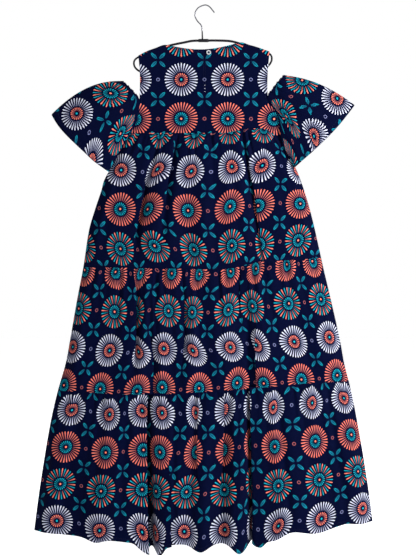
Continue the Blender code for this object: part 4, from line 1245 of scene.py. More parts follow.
def make_yokes():
    """The back yoke, with its slit, and the front yoke."""
    columns, rows = panel_settings()
    materials = cloth_materials()
    for side in ("back", "front"):
        panel = YokePanel(side)
        outward = Vector((0.0, panel.facing, 0.0))
        piece = cloth_piece(panel, panel.columns(columns * 2 // 3), panel.rows(rows), materials,
                            lambda place: outward, slit=side == "back")
        declare(panel.name)


def make_tiers():
    """Three tiers, each gathered into what is above it."""
    columns, rows = panel_settings()
    materials = cloth_materials()
    for tier in TIERS:
        for side in ("back", "front"):
            panel = TierPanel(tier, side)
            outward = Vector((0.0, panel.facing, 0.0))
            piece = cloth_piece(panel, panel.columns(columns), panel.rows(rows), materials,
                                lambda place: outward)
            declare(panel.name)


def make_sleeves():
    """Two flared sleeves, sewn to the yoke under the arm and open at the shoulder."""
    columns, rows = panel_settings()
    materials = cloth_materials()
    for name in SLEEVES:
        sleeve = Sleeve(name)
        middle = sleeve_middle(sleeve)

        def outward(place):
            away = Vector((0.0, place.y, 0.0))
            return away if abs(place.y) > SLEEVE_FOLD_DEPTH else place - middle

        piece = cloth_piece(sleeve, sleeve.columns(columns), sleeve.rows(rows * 2 // 3), materials,
                            outward, tube=True)
        declare(name)


def sleeve_middle(sleeve):
    """The middle of the sleeve's bell, seen flat."""
    station = sleeve.stations[len(sleeve.stations) // 2]
    x = (station.rim_x + station.hem_x) / 2
    return Vector((x, 0.0, -(station.rim_drop + station.hem_drop) / 2))


# Sewing

def line_on(panel, shares, downs):
    """Places along a line on a panel, and the direction out of the cloth at each."""
    share = np.array([shares])
    down = np.broadcast_to(downs, share.shape)
    here = np.stack(panel.surface(share, down), axis=-1)[0]
    beside = np.stack(panel.surface(share + LINE_STEP, down), axis=-1)[0] - here
    under = np.stack(panel.surface(share, down + LINE_STEP), axis=-1)[0] - here
    out = np.cross(beside, under)
    out /= np.linalg.norm(out, axis=1)[:, None]
    return here, out


def stitches_along(builder, here, out, facing):
    """Short stitches at an even pitch along a line of places."""
    sewing = bpy.context.scene.dress_sewing
    out = out * np.sign(np.median(out[:, 1]) * facing)
    run = run_along(here, 0)
    for k in range(int(run[-1] / sewing.stitch_pitch)):
        at = (k + 0.5) * sewing.stitch_pitch
        place = read_along(run, here, at)
        along = read_along(run, here, at + STITCH_AHEAD) - place
        normal = read_along(run, out, at)
        add_stitch(builder, place, along, normal, sewing.stitch_length, sewing.thread_radius)


def read_along(run, values, at):
    """X, Y and Z of values at a length along the line that they lie on."""
    return np.array([np.interp(at, run, values[:, axis]) for axis in range(3)])


def add_stitch(builder, place, along, normal, length, radius):
    """One stitch: a plump bit of thread that lies on the cloth."""
    along = Vector(along).normalized()
    out = Vector(normal)
    out = (out - along * out.dot(along)).normalized()
    side = out.cross(along)
    turn = Matrix((along, side, out)).transposed().to_4x4()
    size = Matrix.Diagonal((length / 2, radius, radius, 1.0))
    middle = Matrix.Translation(Vector(place) + out * radius * STITCH_STAND)
    bmesh.ops.create_icosphere(builder, subdivisions=1, radius=1.0, matrix=middle @ turn @ size)


def make_sewing():
    """Top stitching at the hem, neck, armholes, slit and sleeve hems, and the tacks."""
    for side in ("back", "front"):
        builder = bmesh.new()
        stitch_hem(builder, TierPanel(TIERS[-1], side))
        yoke = YokePanel(side)
        stitch_neck(builder, yoke)
        edge = EDGE_TURN / yoke.width
        stitch_down(builder, yoke, (edge, 1 - edge), *ARMHOLE_STITCHED)
        if side == "back":
            beside = (SLIT_SHARE - SLIT_STITCH_SHARE, SLIT_SHARE + SLIT_STITCH_SHARE)
            stitch_down(builder, yoke, beside, SLIT_STITCHED_FROM, SLIT_END)
        finish_piece(f"top_stitching_{side}", builder, [thread_material()])
    for name in SLEEVES:
        builder = bmesh.new()
        stitch_sleeve_hem(builder, Sleeve(name))
        finish_piece(f"{name}_stitching", builder, [thread_material()])
    make_tacks()


def stitch_hem(builder, panel):
    """A row along the top of the turned hem."""
    shares = np.linspace(SIDE_CLEAR, 1 - SIDE_CLEAR, LINE_POINTS)
    stitches_along(builder, *line_on(panel, shares, 1 - HEM_TURN / panel.height), panel.facing)


def stitch_neck(builder, yoke):
    """A row round the neck, broken by the slit on the back."""
    shares = np.linspace(NECK_LEFT + NECK_CLEAR, NECK_RIGHT - NECK_CLEAR, LINE_POINTS)
    parts = [shares]
    if yoke.side == "back":
        parts = [shares[shares < SLIT_SHARE - SLIT_CLEAR], shares[shares > SLIT_SHARE + SLIT_CLEAR]]
    for part in parts:
        stitches_along(builder, *line_on(yoke, part, EDGE_TURN / yoke.height), yoke.facing)


def stitch_down(builder, yoke, shares, first, last):
    """A row down the yoke at each share of its width."""
    downs = np.linspace(first, last, LINE_POINTS)
    for share in shares:
        stitches_along(builder, *line_on(yoke, np.full(LINE_POINTS, share), downs), yoke.facing)


def stitch_sleeve_hem(builder, sleeve):
    """A row along the turned hem on both layers of a sleeve."""
    for first, facing in ((0.0, -1), (0.5, 1)):
        shares = np.linspace(first + SLEEVE_FOLD_CLEAR, first + 0.5 - SLEEVE_FOLD_CLEAR, LINE_POINTS)
        stitches_along(builder, *line_on(sleeve, shares, 1 - HEM_TURN / sleeve.height), facing)


def make_tacks():
    """Three pale tacking stitches below the slit."""
    yoke = YokePanel("back")
    builder = bmesh.new()
    for tack in TACKS:
        here, out = line_on(yoke, np.array([tack.share]), np.array([tack.down]))
        normal = out[0] * np.sign(out[0][1] * yoke.facing)
        add_stitch(builder, here[0], (math.cos(tack.turn), 0.0, math.sin(tack.turn)), normal,
                   TACK_LENGTH, TACK_RADIUS)
    pale = plain_material("pale thread", bpy.context.scene.dress_sewing.tack)
    finish_piece("slit_tacks", builder, [pale])


# Button and its loop

def make_button():
    """The button with its four holes and painted shade in its dished middle, its thread and the loop
    that holds it.
    """
    low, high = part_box("button")
    middle = (low + high) / 2
    radius = (high.x - low.x) / 2
    half = (high.y - low.y) / 2
    builder = bmesh.new()
    outline = [builder.verts.new((radius * row.radius, 0.0, half * row.height))
               for row in BUTTON_OUTLINE]
    edges = [builder.edges.new(pair) for pair in zip(outline, outline[1:])]
    bmesh.ops.spin(builder, geom=outline + edges, cent=(0, 0, 0), axis=(0, 0, 1), dvec=(0, 0, 0),
                   angle=2 * math.pi, steps=BUTTON_SPIN, use_merge=True, use_duplicate=False)
    bmesh.ops.remove_doubles(builder, verts=builder.verts[:], dist=BUTTON_WELD)
    bmesh.ops.recalc_face_normals(builder, faces=builder.faces[:])
    place_button_part(builder, middle)
    fittings = bpy.context.scene.dress_fittings
    shell = plain_material("button shell", fittings.button)
    well = plain_material("button well", fittings.button_well)
    button = finish_piece("button_disc", builder, [shell, well])
    # Faces in the dish on the side facing the back get the dark material, painted shade in the recess
    for face in button.data.polygons:
        off = face.center - middle
        if math.hypot(off.x, off.z) < radius * BUTTON_SHADED_WELL and off.y < 0:
            face.material_index = 1
    pierce(button, middle, radius, half)
    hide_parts("button")
    make_button_thread(middle, radius, half)
    make_loop(middle, radius, half)


def place_button_part(builder, middle):
    """Turns a part made face up so that it faces the back, and puts it at the button."""
    turn = Matrix.Translation(middle) @ Matrix.Rotation(math.pi / 2, 4, "X")
    bmesh.ops.transform(builder, matrix=turn, verts=builder.verts[:])


def hole_places(radius):
    """The middles of the four holes."""
    gap = radius * BUTTON_HOLE_PLACE
    return [(x, z) for x in (-gap, gap) for z in (-gap, gap)]


def pierce(button, middle, radius, half):
    """Four holes through the button."""
    drill = bmesh.new()
    for x, z in hole_places(radius):
        place = Matrix.Translation((x, z, 0.0))
        bmesh.ops.create_cone(drill, cap_ends=True, segments=16, radius1=radius * BUTTON_HOLE,
                              radius2=radius * BUTTON_HOLE, depth=half * 6, matrix=place)
    place_button_part(drill, middle)
    mesh = bpy.data.meshes.new("button drill")
    drill.to_mesh(mesh)
    drill.free()
    tool = bpy.data.objects.new("button drill", mesh)
    bpy.context.scene.collection.objects.link(tool)
    cut = button.modifiers.new("holes", "BOOLEAN")
    cut.object = tool
    graph = bpy.context.evaluated_depsgraph_get()
    pierced = bpy.data.meshes.new_from_object(button.evaluated_get(graph))
    button.modifiers.remove(cut)
    button.data = pierced
    button.data.shade_smooth()
    button.data.set_sharp_from_angle(angle=SHARP_ANGLE)
    bpy.data.objects.remove(tool, do_unlink=True)


def make_button_thread(middle, radius, half):
    """The thread that crosses the button's face from hole to hole."""
    builder = bmesh.new()
    length = radius * BUTTON_HOLE_PLACE * BUTTON_THREAD_REACH
    face = Vector((middle.x, middle.y - half * BUTTON_OUTLINE[0].height, middle.z))
    for turn in (math.pi / 4, -math.pi / 4):
        along = Vector((math.cos(turn), 0.0, math.sin(turn)))
        aside = Vector((-math.sin(turn), 0.0, math.cos(turn))) * BUTTON_THREAD_APART / 2
        for place in (face - aside, face + aside):
            add_stitch(builder, place, along, (0.0, -1.0, 0.0), length, BUTTON_THREAD_RADIUS)
    finish_piece("button_thread", builder, [thread_material()])


def make_loop(middle, radius, half):
    """The worked thread loop round the button, from the slit's other edge."""
    reach = radius + LOOP_THREAD_RADIUS + SEAM_GAP
    height = middle.y + half - LOOP_THREAD_RADIUS
    angles = [mix(LOOP_START, LOOP_END, k / LOOP_STEPS) for k in range(LOOP_STEPS + 1)]
    points = [(middle.x + reach * math.cos(angle), height, middle.z + reach * math.sin(angle))
              for angle in angles]
    loop = tube("button_loop_thread", points, LOOP_THREAD_RADIUS, [1.0] * len(points),
                thread_material(), "thread")
    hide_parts("button_loop")


# Hanger

def through(knots, steps):
    """Points of a smooth curve through knots, each a tuple of numbers."""
    points = []
    for i in range(len(knots) - 1):
        a = knots[max(i - 1, 0)]
        b, c = knots[i], knots[i + 1]
        d = knots[min(i + 2, len(knots) - 1)]
        for k in range(steps):
            p = k / steps
            points.append(tuple(
                0.5 * (2 * q + (r - o) * p + (2 * o - 5 * q + 4 * r - s) * p**2
                       + (3 * q - o - 3 * r + s) * p**3)
                for o, q, r, s in zip(a, b, c, d)))
    return points + [tuple(knots[-1])]


def tube(name, points, radius, thicknesses, material, slot, sides=4):
    """A round bar along points, with a thickness for each, made a closed mesh."""
    curve = bpy.data.curves.new(name, "CURVE")
    curve.dimensions = "3D"
    curve.bevel_depth = radius
    curve.bevel_resolution = sides
    curve.use_fill_caps = True
    spline = curve.splines.new("POLY")
    spline.points.add(len(points) - 1)
    for knot, point, thickness in zip(spline.points, points, thicknesses):
        knot.co = (*point, 1.0)
        knot.radius = thickness
    guide = bpy.data.objects.new(name, curve)
    bpy.context.scene.collection.objects.link(guide)
    graph = bpy.context.evaluated_depsgraph_get()
    mesh = bpy.data.meshes.new_from_object(guide.evaluated_get(graph))
    bpy.data.objects.remove(guide, do_unlink=True)
    builder = bmesh.new()
    builder.from_mesh(mesh)
    bmesh.ops.remove_doubles(builder, verts=builder.verts[:], dist=WELD)
    bmesh.ops.recalc_face_normals(builder, faces=builder.faces[:])
    piece = finish_piece(name, builder, [material])
    piece.data.set_sharp_from_angle(angle=BAR_SHARP_ANGLE)
    return piece


def make_hanger():
    """The bar, the centre block and the hook."""
    low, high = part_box("hanger_block")
    make_bar(low, high)
    make_block(low, high)
    make_hook(high)


def make_bar(low, high):
    """One bar from the block's right end round both end loops to its left end."""
    drop = -(low.z + high.z) / 2
    knots = [(high.x - BAR_SEATED, drop, 1.0), (high.x + BAR_END_LENGTH, drop - BAR_END_RISE, 1.0)]
    knots += [tuple(row) for row in BAR]
    knots += [(low.x - BAR_END_LENGTH, drop + BAR_END_FALL, 1.0), (low.x + BAR_SEATED, drop, 1.0)]
    line = through(knots, BAR_STEPS)
    bar = tube("hanger_bar", [(x, 0.0, -down) for x, down, _ in line], BAR_RADIUS,
               [thickness for _, _, thickness in line], hanger_material(), "hanger")
    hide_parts("hanger_frame")


def make_block(low, high):
    """The block in the middle, with a collar round the bar at each end."""
    middle = (low + high) / 2
    builder = bmesh.new()
    bmesh.ops.create_cube(builder, size=1.0)
    bmesh.ops.scale(builder, vec=high - low, verts=builder.verts[:])
    bmesh.ops.bevel(builder, geom=builder.edges[:], offset=BLOCK_BEVEL, affect="EDGES", segments=4,
                    profile=0.5, material=-1)
    bmesh.ops.translate(builder, vec=middle, verts=builder.verts[:])
    for end in (low.x + COLLAR_INSET, high.x - COLLAR_INSET):
        turn = Matrix.Translation((end, 0.0, middle.z)) @ Matrix.Rotation(math.pi / 2, 4, "Y")
        bmesh.ops.create_cone(builder, cap_ends=True, segments=32, radius1=COLLAR_RADIUS,
                              radius2=COLLAR_RADIUS, depth=COLLAR_LENGTH, matrix=turn)
    block = finish_piece("hanger_centre", builder, [hanger_material()])
    block.data.set_sharp_from_angle(angle=SHARP_ANGLE)
    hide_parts("hanger_block")


def make_hook(high):
    """The steel hook, and the black coating on its stem."""
    line = through([tuple(row) for row in HOOK], HOOK_FINE_STEPS)
    line[0] = (line[0][0], -high.z)
    steel = plain_material("hook steel", bpy.context.scene.dress_fittings.wire)
    wire = tube("hook_steel", [(x, 0.0, -down) for x, down in line], HOOK_WIRE_RADIUS,
                [1.0] * len(line), steel, "hook_wire")
    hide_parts("hanger_hook")
    coated = [(x, 0.0, -down) for x, down in line if down > COATING_TOP]
    thicknesses = [mix(1.0, COATING_TIP, k / (len(coated) - 1)) for k in range(len(coated))]
    tube("hook_coating", coated, STEM_RADIUS, thicknesses, hanger_material(), "hanger")


# Materials

class Value:
    """A number that a material works out at each place, so that sums of it read as sums."""

    def __init__(self, nodes, socket):
        self.nodes = nodes
        self.socket = socket

    def __add__(self, other):
        return self.nodes.math("ADD", self, other)

    def __sub__(self, other):
        return self.nodes.math("SUBTRACT", self, other)

    def __rsub__(self, other):
        return self.nodes.math("SUBTRACT", other, self)

    def __mul__(self, other):
        return self.nodes.math("MULTIPLY", self, other)

    def __truediv__(self, other):
        return self.nodes.math("DIVIDE", self, other)

    def __pow__(self, other):
        return self.nodes.math("POWER", self, other)

    def __mod__(self, other):
        return self.nodes.math("FLOORED_MODULO", self, other)

    def __abs__(self):
        return self.nodes.math("ABSOLUTE", self)

    def is_number(self, number):
        """1 where this whole number is that one."""
        return self.nodes.math("COMPARE", self, number, 0.1)


class Nodes:
    """Builds one material's nodes."""

    def __init__(self, name, roughness, specular, metallic=0.0):
        self.material = bpy.data.materials.new(name)
        self.material.use_nodes = True
        self.tree = self.material.node_tree
        self.shader = self.tree.nodes["Principled BSDF"]
        self.set("Roughness", roughness)
        self.set("Specular IOR Level", specular)
        self.set("Metallic", metallic)

    def set(self, name, value):
        """Gives one of the shader's sockets a constant."""
        self.shader.inputs[name].default_value = value

    def node(self, kind, **settings):
        made = self.tree.nodes.new(kind)
        for key, value in settings.items():
            setattr(made, key, value)
        return made

    def feed(self, socket, value):
        """Links a value or a node's output to a socket, or sets the socket to a constant."""
        if isinstance(value, Value):
            value = value.socket
        if isinstance(value, bpy.types.NodeSocket):
            self.tree.links.new(value, socket)
        else:
            socket.default_value = value

    def math(self, operation, *values):
        made = self.node("ShaderNodeMath", operation=operation)
        for socket, value in zip(made.inputs, values):
            self.feed(socket, value)
        return Value(self, made.outputs[0])

    def length(self, x, y):
        """How far a place is from where x and y are 0."""
        return self.math("SQRT", x * x + y * y)

    def soft_edge(self, value, width):
        """0 below -width, 1 above width and a soft step between."""
        made = self.node("ShaderNodeMapRange", interpolation_type="SMOOTHSTEP")
        self.feed(made.inputs["Value"], value)
        self.feed(made.inputs["From Min"], -width)
        self.feed(made.inputs["From Max"], width)
        return Value(self, made.outputs["Result"])

    def mix_colour(self, share, first, second):
        made = self.node("ShaderNodeMix", data_type="RGBA")
        self.feed(made.inputs["Factor"], share)
        self.feed(made.inputs["A"], first)
        self.feed(made.inputs["B"], second)
        return made.outputs["Result"]

    def noise(self, place, scale, detail=2.0):
        made = self.node("ShaderNodeTexNoise")
        self.feed(made.inputs["Vector"], place)
        self.feed(made.inputs["Scale"], scale)
        self.feed(made.inputs["Detail"], detail)
        return Value(self, made.outputs["Fac"])

    def bump(self, height, strength, depth):
        made = self.node("ShaderNodeBump")
        self.feed(made.inputs["Strength"], strength)
        self.feed(made.inputs["Distance"], depth)
        self.feed(made.inputs["Height"], height)
        self.feed(self.shader.inputs["Normal"], made.outputs["Normal"])


def rgba(colour, light=1.0):
    """A colour with its alpha, made lighter or darker."""
    return (colour[0] * light, colour[1] * light, colour[2] * light, 1.0)


def cell(nodes, value, pitch):
    """Distance from the middle of the nearest repeat, and the number of that repeat."""
    turns = value / pitch
    number = nodes.math("ROUND", turns)
    return (turns - number) * pitch, number


def flower(nodes, radius, angle, petals, inner, outer, half_width):
    """A ring of petals: 1 inside a petal, how far out along it, and 1 on every other one."""
    turn = angle * (petals / (2 * math.pi))
    number = nodes.math("ROUND", turn)
    aside = abs(turn - number) * (radius * (2 * math.pi / petals))
    out = (radius - inner) / (outer - inner)
    along = nodes.math("MINIMUM", nodes.math("MAXIMUM", out, 0.0), 1.0)
    tip = nodes.math("SQRT", 1.0 - along ** PETAL_BLUNTNESS)
    edge = (along * (1 - PETAL_FOOT) + PETAL_FOOT) * tip * half_width
    inside = nodes.soft_edge(edge - aside, PRINT_EDGE)
    inside = inside * nodes.math("GREATER_THAN", out, 0.0) * nodes.math("LESS_THAN", out, 1.0)
    return inside, along, number % 2


def print_daisies(nodes, colour, inks, x, y, is_white, is_mixed):
    """A large daisy in the row's ink, a small one in its middle and a round eye."""
    radius = nodes.length(x, y)
    angle = nodes.math("ARCTAN2", y, x)
    inside, along, other = flower(nodes, radius, angle, PETALS, PETAL_INNER, PETAL_OUTER,
                                  PETAL_HALF_WIDTH)
    is_teal = is_mixed * other
    bright = nodes.mix_colour(is_teal, nodes.mix_colour(is_white, inks["coral"], inks["white"]),
                              inks["teal"])
    dull = nodes.mix_colour(is_teal, nodes.mix_colour(is_white, inks["rose"], inks["slate"]),
                            inks["deep_teal"])
    colour = nodes.mix_colour(inside, colour, nodes.mix_colour(along ** PETAL_SHADING, dull, bright))
    inside, along, _ = flower(nodes, radius, angle, HEART_PETALS, HEART_INNER, HEART_OUTER,
                              HEART_HALF_WIDTH)
    bright = nodes.mix_colour(is_white, inks["teal"], inks["coral"])
    dull = nodes.mix_colour(is_white, inks["deep_teal"], inks["rose"])
    colour = nodes.mix_colour(inside, colour, nodes.mix_colour(along, dull, bright))
    eye = nodes.soft_edge(EYE_RADIUS - radius, PRINT_EDGE)
    return nodes.mix_colour(eye, colour, nodes.mix_colour(is_white, inks["coral"], inks["teal"]))


def print_leaves(nodes, colour, inks, far_x, far_y):
    """Four leaves round each corner of the repeat, each with a vein."""
    along = (far_x + far_y) * math.sqrt(0.5)
    aside = (far_x - far_y) * math.sqrt(0.5)
    long = (along - LEAF_PLACE) / LEAF_HALF_LENGTH
    leaf = nodes.soft_edge(1.0 - (long * long + abs(aside / LEAF_HALF_WIDTH)), LEAF_EDGE)
    vein = nodes.soft_edge(abs(aside) - LEAF_VEIN, PRINT_EDGE)
    green = nodes.mix_colour(long, inks["deep_teal"], inks["teal"])
    return nodes.mix_colour(leaf * vein, colour, green)


def print_rings(nodes, colour, inks, far_x, y, is_white):
    """A small ring between one daisy and the next in its row."""
    ring = RING_HALF_WIDTH - abs(nodes.length(far_x, y) - RING_RADIUS)
    return nodes.mix_colour(nodes.soft_edge(ring, PRINT_EDGE), colour,
                            nodes.mix_colour(is_white, inks["rose"], inks["slate"]))


def printed_cotton(name, light, fade):
    """Cotton printed with rows of daisies and small leaf sprigs on navy."""
    if name in bpy.data.materials:
        return bpy.data.materials[name]
    cloth = bpy.context.scene.dress_cloth
    nodes = Nodes(name, cloth.roughness, cloth.gloss)
    place = nodes.node("ShaderNodeUVMap", uv_map=CLOTH_UV).outputs["UV"]
    split = nodes.node("ShaderNodeSeparateXYZ")
    nodes.feed(split.inputs["Vector"], place)
    over = Value(nodes, split.outputs["X"])
    up = Value(nodes, split.outputs["Y"])
    x, _ = cell(nodes, over, cloth.repeat_width)
    y, row = cell(nodes, up, cloth.repeat_height)
    kind = row % ROW_KINDS
    is_white = kind.is_number(WHITE_ROW)
    is_mixed = kind.is_number(MIXED_ROW)
    far_x = cloth.repeat_width / 2 - abs(x)
    far_y = cloth.repeat_height / 2 - abs(y)

    inks = {ink: rgba(getattr(cloth, ink), light) for ink in INKS}
    colour = print_daisies(nodes, rgba(cloth.navy), inks, x, y, is_white, is_mixed)
    colour = print_leaves(nodes, colour, inks, far_x, far_y)
    colour = print_rings(nodes, colour, inks, far_x, y, is_white)
    toned = nodes.node("ShaderNodeVectorMath", operation="SCALE")
    nodes.feed(toned.inputs[0], nodes.mix_colour(fade, colour, rgba(cloth.navy, FADED_NAVY)))
    patchy = nodes.noise(place, PATCH_SCALE, 3.0)
    nodes.feed(toned.inputs["Scale"], patchy * PATCH_VARIATION + (1 - PATCH_VARIATION / 2))
    nodes.feed(nodes.shader.inputs["Base Color"], toned.outputs["Vector"])
    nodes.set("Sheen Weight", cloth.sheen)
    nodes.set("Sheen Roughness", SHEEN_ROUGHNESS)

    threads = 2 * math.pi / cloth.thread_pitch
    weave = nodes.math("SINE", over * threads) * nodes.math("SINE", up * threads)
    nodes.bump(weave + nodes.noise(place, SLUB_SCALE), WEAVE_BUMP, WEAVE_DEPTH)
    return nodes.material


def cloth_materials():
    """The printed side of the cotton and its paler wrong side."""
    return [printed_cotton("printed cotton", 1.0, 0.0),
            printed_cotton("wrong side", WRONG_SIDE_LIGHT, WRONG_SIDE_FADE)]


def plain_material(name, colour):
    """One colour that varies slightly over the piece, with a fine grain."""
    if name in bpy.data.materials:
        return bpy.data.materials[name]
    finish = FINISHES[name]
    nodes = Nodes(name, finish.roughness, finish.specular, finish.metallic)
    nodes.set("Coat Weight", finish.coat)
    place = nodes.node("ShaderNodeTexCoord").outputs["Object"]
    grain = nodes.noise(place, finish.grain, 4.0)
    low = rgba(colour, 1 - finish.variation)
    high = rgba(colour, 1 + finish.variation)
    nodes.feed(nodes.shader.inputs["Base Color"], nodes.mix_colour(grain, low, high))
    nodes.bump(grain, finish.bump, GRAIN_DEPTH)
    return nodes.material


def thread_material():
    return plain_material("navy thread", bpy.context.scene.dress_sewing.thread)


def hanger_material():
    return plain_material("black hanger", bpy.context.scene.dress_fittings.hanger)


# Stage

def fading_light(tree, along, reach, first, last):
    """Light that goes from first to last over a reach of one axis of the direction."""
    fade = tree.nodes.new("ShaderNodeMapRange")
    fade.interpolation_type = "SMOOTHSTEP"
    fade.inputs["From Min"].default_value = reach[0]
    fade.inputs["From Max"].default_value = reach[1]
    fade.inputs["To Min"].default_value = first
    fade.inputs["To Max"].default_value = last
    tree.links.new(along, fade.inputs["Value"])
    return fade.outputs["Result"]


def make_stage():
    """A pale floor, a pale room, three lamps and the camera."""
    stage = bpy.context.scene.dress_stage
    make_floor(stage)
    make_room(stage)
    for lamp in LAMPS:
        make_lamp(lamp, stage)
    make_camera(stage)
    bpy.context.scene.view_settings.view_transform = "Standard"


def make_floor(stage):
    builder = bmesh.new()
    bmesh.ops.create_circle(builder, cap_ends=True, segments=96, radius=FLOOR_RADIUS,
                            matrix=Matrix.Translation((0.0, 0.0, FLOOR_HEIGHT)))
    mesh = bpy.data.meshes.new("floor")
    builder.to_mesh(mesh)
    builder.free()
    paper = plain_material("pale floor", stage.floor)
    shader = paper.node_tree.nodes["Principled BSDF"]
    shader.inputs["Emission Color"].default_value = WHITE
    shader.inputs["Emission Strength"].default_value = stage.floor_glow
    mesh.materials.append(paper)
    floor = bpy.data.objects.new("floor", mesh)
    bpy.context.scene.collection.objects.link(floor)


def make_room(stage):
    """Even light: brightest behind the dress, paler along the horizon than above."""
    world = bpy.data.worlds.new("pale room")
    world.use_nodes = True
    tree = world.node_tree
    direction = tree.nodes.new("ShaderNodeTexCoord")
    split = tree.nodes.new("ShaderNodeSeparateXYZ")
    tree.links.new(direction.outputs["Generated"], split.inputs["Vector"])
    wall = fading_light(tree, split.outputs["Y"], BACKDROP_FADE, stage.room_light,
                        stage.backdrop_light)
    ring = fading_light(tree, split.outputs["Z"], HORIZON_FADE, stage.horizon_light,
                        stage.room_light)
    brighter = tree.nodes.new("ShaderNodeMath")
    brighter.operation = "MAXIMUM"
    tree.links.new(wall, brighter.inputs[0])
    tree.links.new(ring, brighter.inputs[1])
    tree.links.new(brighter.outputs[0], tree.nodes["Background"].inputs["Strength"])
    tree.nodes["Background"].inputs["Color"].default_value = WHITE
    bpy.context.scene.world = world


def make_lamp(lamp, stage):
    """A round lamp that is turned to the middle of the dress."""
    light = bpy.data.lights.new(lamp.name, "AREA")
    light.shape = "DISK"
    light.size = lamp.size
    light.energy = lamp.watts * stage.lamp_light
    made = bpy.data.objects.new(lamp.name, light)
    made.location = (lamp.x, lamp.y, lamp.z)
    aim = Vector((0.0, 0.0, VIEW_MIDDLE_Z)) - made.location
    made.rotation_euler = aim.to_track_quat("-Z", "Y").to_euler()
    bpy.context.scene.collection.objects.link(made)


def make_camera(stage):
    """A camera straight behind the dress, as far off as its lens needs for the whole of it."""
    eye = bpy.data.cameras.new("camera")
    eye.lens = stage.lens
    eye.sensor_width = SENSOR
    camera = bpy.data.objects.new("camera", eye)
    camera.location = (VIEW_MIDDLE_X, -PICTURE_HEIGHT * stage.lens / SENSOR, VIEW_MIDDLE_Z)
    camera.rotation_euler = (math.pi / 2, 0.0, 0.0)
    bpy.context.scene.collection.objects.link(camera)
    bpy.context.scene.camera = camera


# Settings

def colour_setting(name, description, default):
    """A colour that a user can change."""
    return FloatVectorProperty(name=name, description=description, default=default, size=3,
                               subtype="COLOR", min=0.0, max=1.0)


def length_setting(name, description, default):
    """A length that a user can change."""
    return FloatProperty(name=name, description=description, default=default, unit="LENGTH")


def share_setting(name, description, default):
    """A strength between none and all."""
    return FloatProperty(name=name, description=description, default=default, subtype="FACTOR",
                         min=0.0, max=1.0)


def light_setting(name, description, default):
    """The strength of a light."""
    return FloatProperty(name=name, description=description, default=default, min=0.0)


class DressCloth(bpy.types.PropertyGroup):
    """The printed cotton."""
    thickness: length_setting("Thickness", "Thickness of the cloth's wall", 0.0009)
    columns: IntProperty(name="Columns", description="Points across each panel", default=240, min=40)
    rows: IntProperty(name="Rows", description="Points down each panel", default=64, min=20)
    repeat_width: length_setting("Repeat width", "Distance from daisy to daisy across", 0.132)
    repeat_height: length_setting("Repeat height", "Distance from row to row of daisies", 0.112)
    thread_pitch: length_setting("Thread pitch", "Distance between threads of the weave", 0.0009)
    roughness: share_setting("Roughness", "Roughness of the cotton", 0.82)
    gloss: share_setting("Gloss", "Strength of the cotton's reflection", 0.026)
    sheen: share_setting("Sheen", "Strength of the cotton's sheen", 0.005)
    navy: colour_setting("Navy", "Ground of the print", (0.0002, 0.0011, 0.0128))
    coral: colour_setting("Coral", "Tips of the coral petals", (0.66, 0.155, 0.105))
    rose: colour_setting("Rose", "Base of the coral petals", (0.22, 0.062, 0.070))
    teal: colour_setting("Teal", "Tips of the teal petals", (0.004, 0.235, 0.310))
    deep_teal: colour_setting("Deep teal", "Base of the teal petals", (0.003, 0.085, 0.140))
    white: colour_setting("White", "Tips of the white petals", (0.53, 0.55, 0.65))
    slate: colour_setting("Slate", "Base of the white petals", (0.115, 0.125, 0.240))


class DressSewing(bpy.types.PropertyGroup):
    """Thread and stitches."""
    stitch_length: length_setting("Stitch length", "Length of a stitch that shows", 0.0028)
    stitch_pitch: length_setting("Stitch pitch", "Distance from one stitch to the next", 0.0038)
    thread_radius: length_setting("Thread radius", "Radius of the sewing thread", 0.00028)
    thread: colour_setting("Thread", "Colour of the sewing thread", (0.006, 0.008, 0.040))
    tack: colour_setting("Tacks", "Colour of the stitches below the slit", (0.55, 0.56, 0.62))


class DressFittings(bpy.types.PropertyGroup):
    """Button and hanger."""
    button: colour_setting("Button", "Rim of the button", (0.40, 0.40, 0.41))
    # Painted shade: the colour of the button's dished middle
    button_well: colour_setting("Button well", "Middle of the button", (0.030, 0.035, 0.060))
    hanger: colour_setting("Hanger", "Coating of the hanger", (0.004, 0.004, 0.007))
    wire: colour_setting("Wire", "Steel of the hook", (0.15, 0.15, 0.17))


class DressStage(bpy.types.PropertyGroup):
    """Floor, light and camera."""
    floor: colour_setting("Floor", "Colour of the floor", (0.93, 0.93, 0.93))
    floor_glow: light_setting("Floor glow", "Light that the floor gives off", 0.56)
    room_light: light_setting("Room light", "Strength of the light from above", 0.12)
    horizon_light: light_setting("Horizon light", "Strength of the light along the horizon", 0.70)
    backdrop_light: light_setting("Backdrop light", "Strength of the light behind the dress", 1.0)
    lamp_light: light_setting("Lamp light", "Strength of the three lamps", 1.0)
    lens: FloatProperty(name="Lens", description="Focal length", default=85.0, unit="CAMERA")


# Operators

class DRESS_OT_yokes(bpy.types.Operator):
    """Add the back and front yokes"""
    bl_idname = "dress.yokes"
    bl_label = "Yokes"

    def execute(self, context):
        make_yokes()
        return {"FINISHED"}


class DRESS_OT_tiers(bpy.types.Operator):
    """Add the three gathered tiers, back and front"""
    bl_idname = "dress.tiers"
    bl_label = "Tiers"

    def execute(self, context):
        make_tiers()
        return {"FINISHED"}


class DRESS_OT_sleeves(bpy.types.Operator):
    """Add the two open-shoulder sleeves"""
    bl_idname = "dress.sleeves"
    bl_label = "Sleeves"

    def execute(self, context):
        make_sleeves()
        return {"FINISHED"}


class DRESS_OT_sewing(bpy.types.Operator):
    """Add the stitches that show"""
    bl_idname = "dress.sewing"
    bl_label = "Sewing"

    def execute(self, context):
        make_sewing()
        return {"FINISHED"}


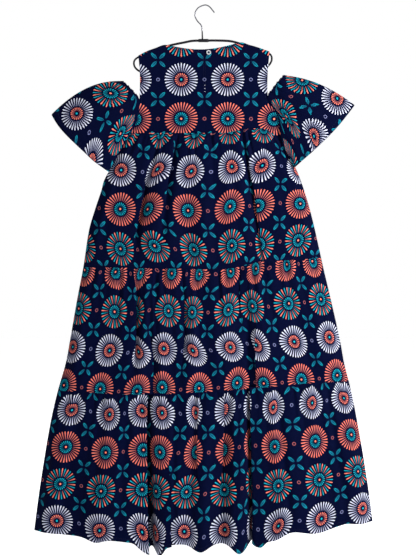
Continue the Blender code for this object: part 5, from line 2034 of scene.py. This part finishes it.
class DRESS_OT_button(bpy.types.Operator):
    """Add the button, its thread and its loop"""
    bl_idname = "dress.button"
    bl_label = "Button and loop"

    def execute(self, context):
        make_button()
        return {"FINISHED"}


class DRESS_OT_hanger(bpy.types.Operator):
    """Add the hanger's bar, centre block and hook"""
    bl_idname = "dress.hanger"
    bl_label = "Hanger"

    def execute(self, context):
        make_hanger()
        return {"FINISHED"}


class DRESS_OT_stage(bpy.types.Operator):
    """Add the floor, the lights and the camera"""
    bl_idname = "dress.stage"
    bl_label = "Stage"

    def execute(self, context):
        make_stage()
        return {"FINISHED"}


GROUPS = {
    "dress_cloth": DressCloth,
    "dress_sewing": DressSewing,
    "dress_fittings": DressFittings,
    "dress_stage": DressStage,
}
OPERATORS = (
    DRESS_OT_stage, DRESS_OT_yokes, DRESS_OT_tiers, DRESS_OT_sleeves,
    DRESS_OT_sewing, DRESS_OT_button, DRESS_OT_hanger,
)


class DRESS_PT_panel(bpy.types.Panel):
    """Buttons and settings for the dress"""
    bl_label = "Tiered dress"
    bl_idname = "DRESS_PT_panel"
    bl_space_type = "VIEW_3D"
    bl_region_type = "UI"
    bl_category = "Dress"

    def draw(self, context):
        for operator in OPERATORS:
            self.layout.operator(operator.bl_idname)
        for name, group in GROUPS.items():
            box = self.layout.box()
            for setting in group.__annotations__:
                box.prop(getattr(context.scene, name), setting)


def register():
    for name, group in GROUPS.items():
        bpy.utils.register_class(group)
        setattr(bpy.types.Scene, name, PointerProperty(type=group))
    for operator in OPERATORS:
        bpy.utils.register_class(operator)
    bpy.utils.register_class(DRESS_PT_panel)


def unregister():
    bpy.utils.unregister_class(DRESS_PT_panel)
    for operator in reversed(OPERATORS):
        bpy.utils.unregister_class(operator)
    for name, group in GROUPS.items():
        delattr(bpy.types.Scene, name)
        bpy.utils.unregister_class(group)


def main():
    register()
    bpy.ops.dress.stage()
    bpy.ops.dress.yokes()
    bpy.ops.dress.tiers()
    bpy.ops.dress.sleeves()
    bpy.ops.dress.sewing()
    bpy.ops.dress.button()
    bpy.ops.dress.hanger()


if __name__ == "__main__":
    main()
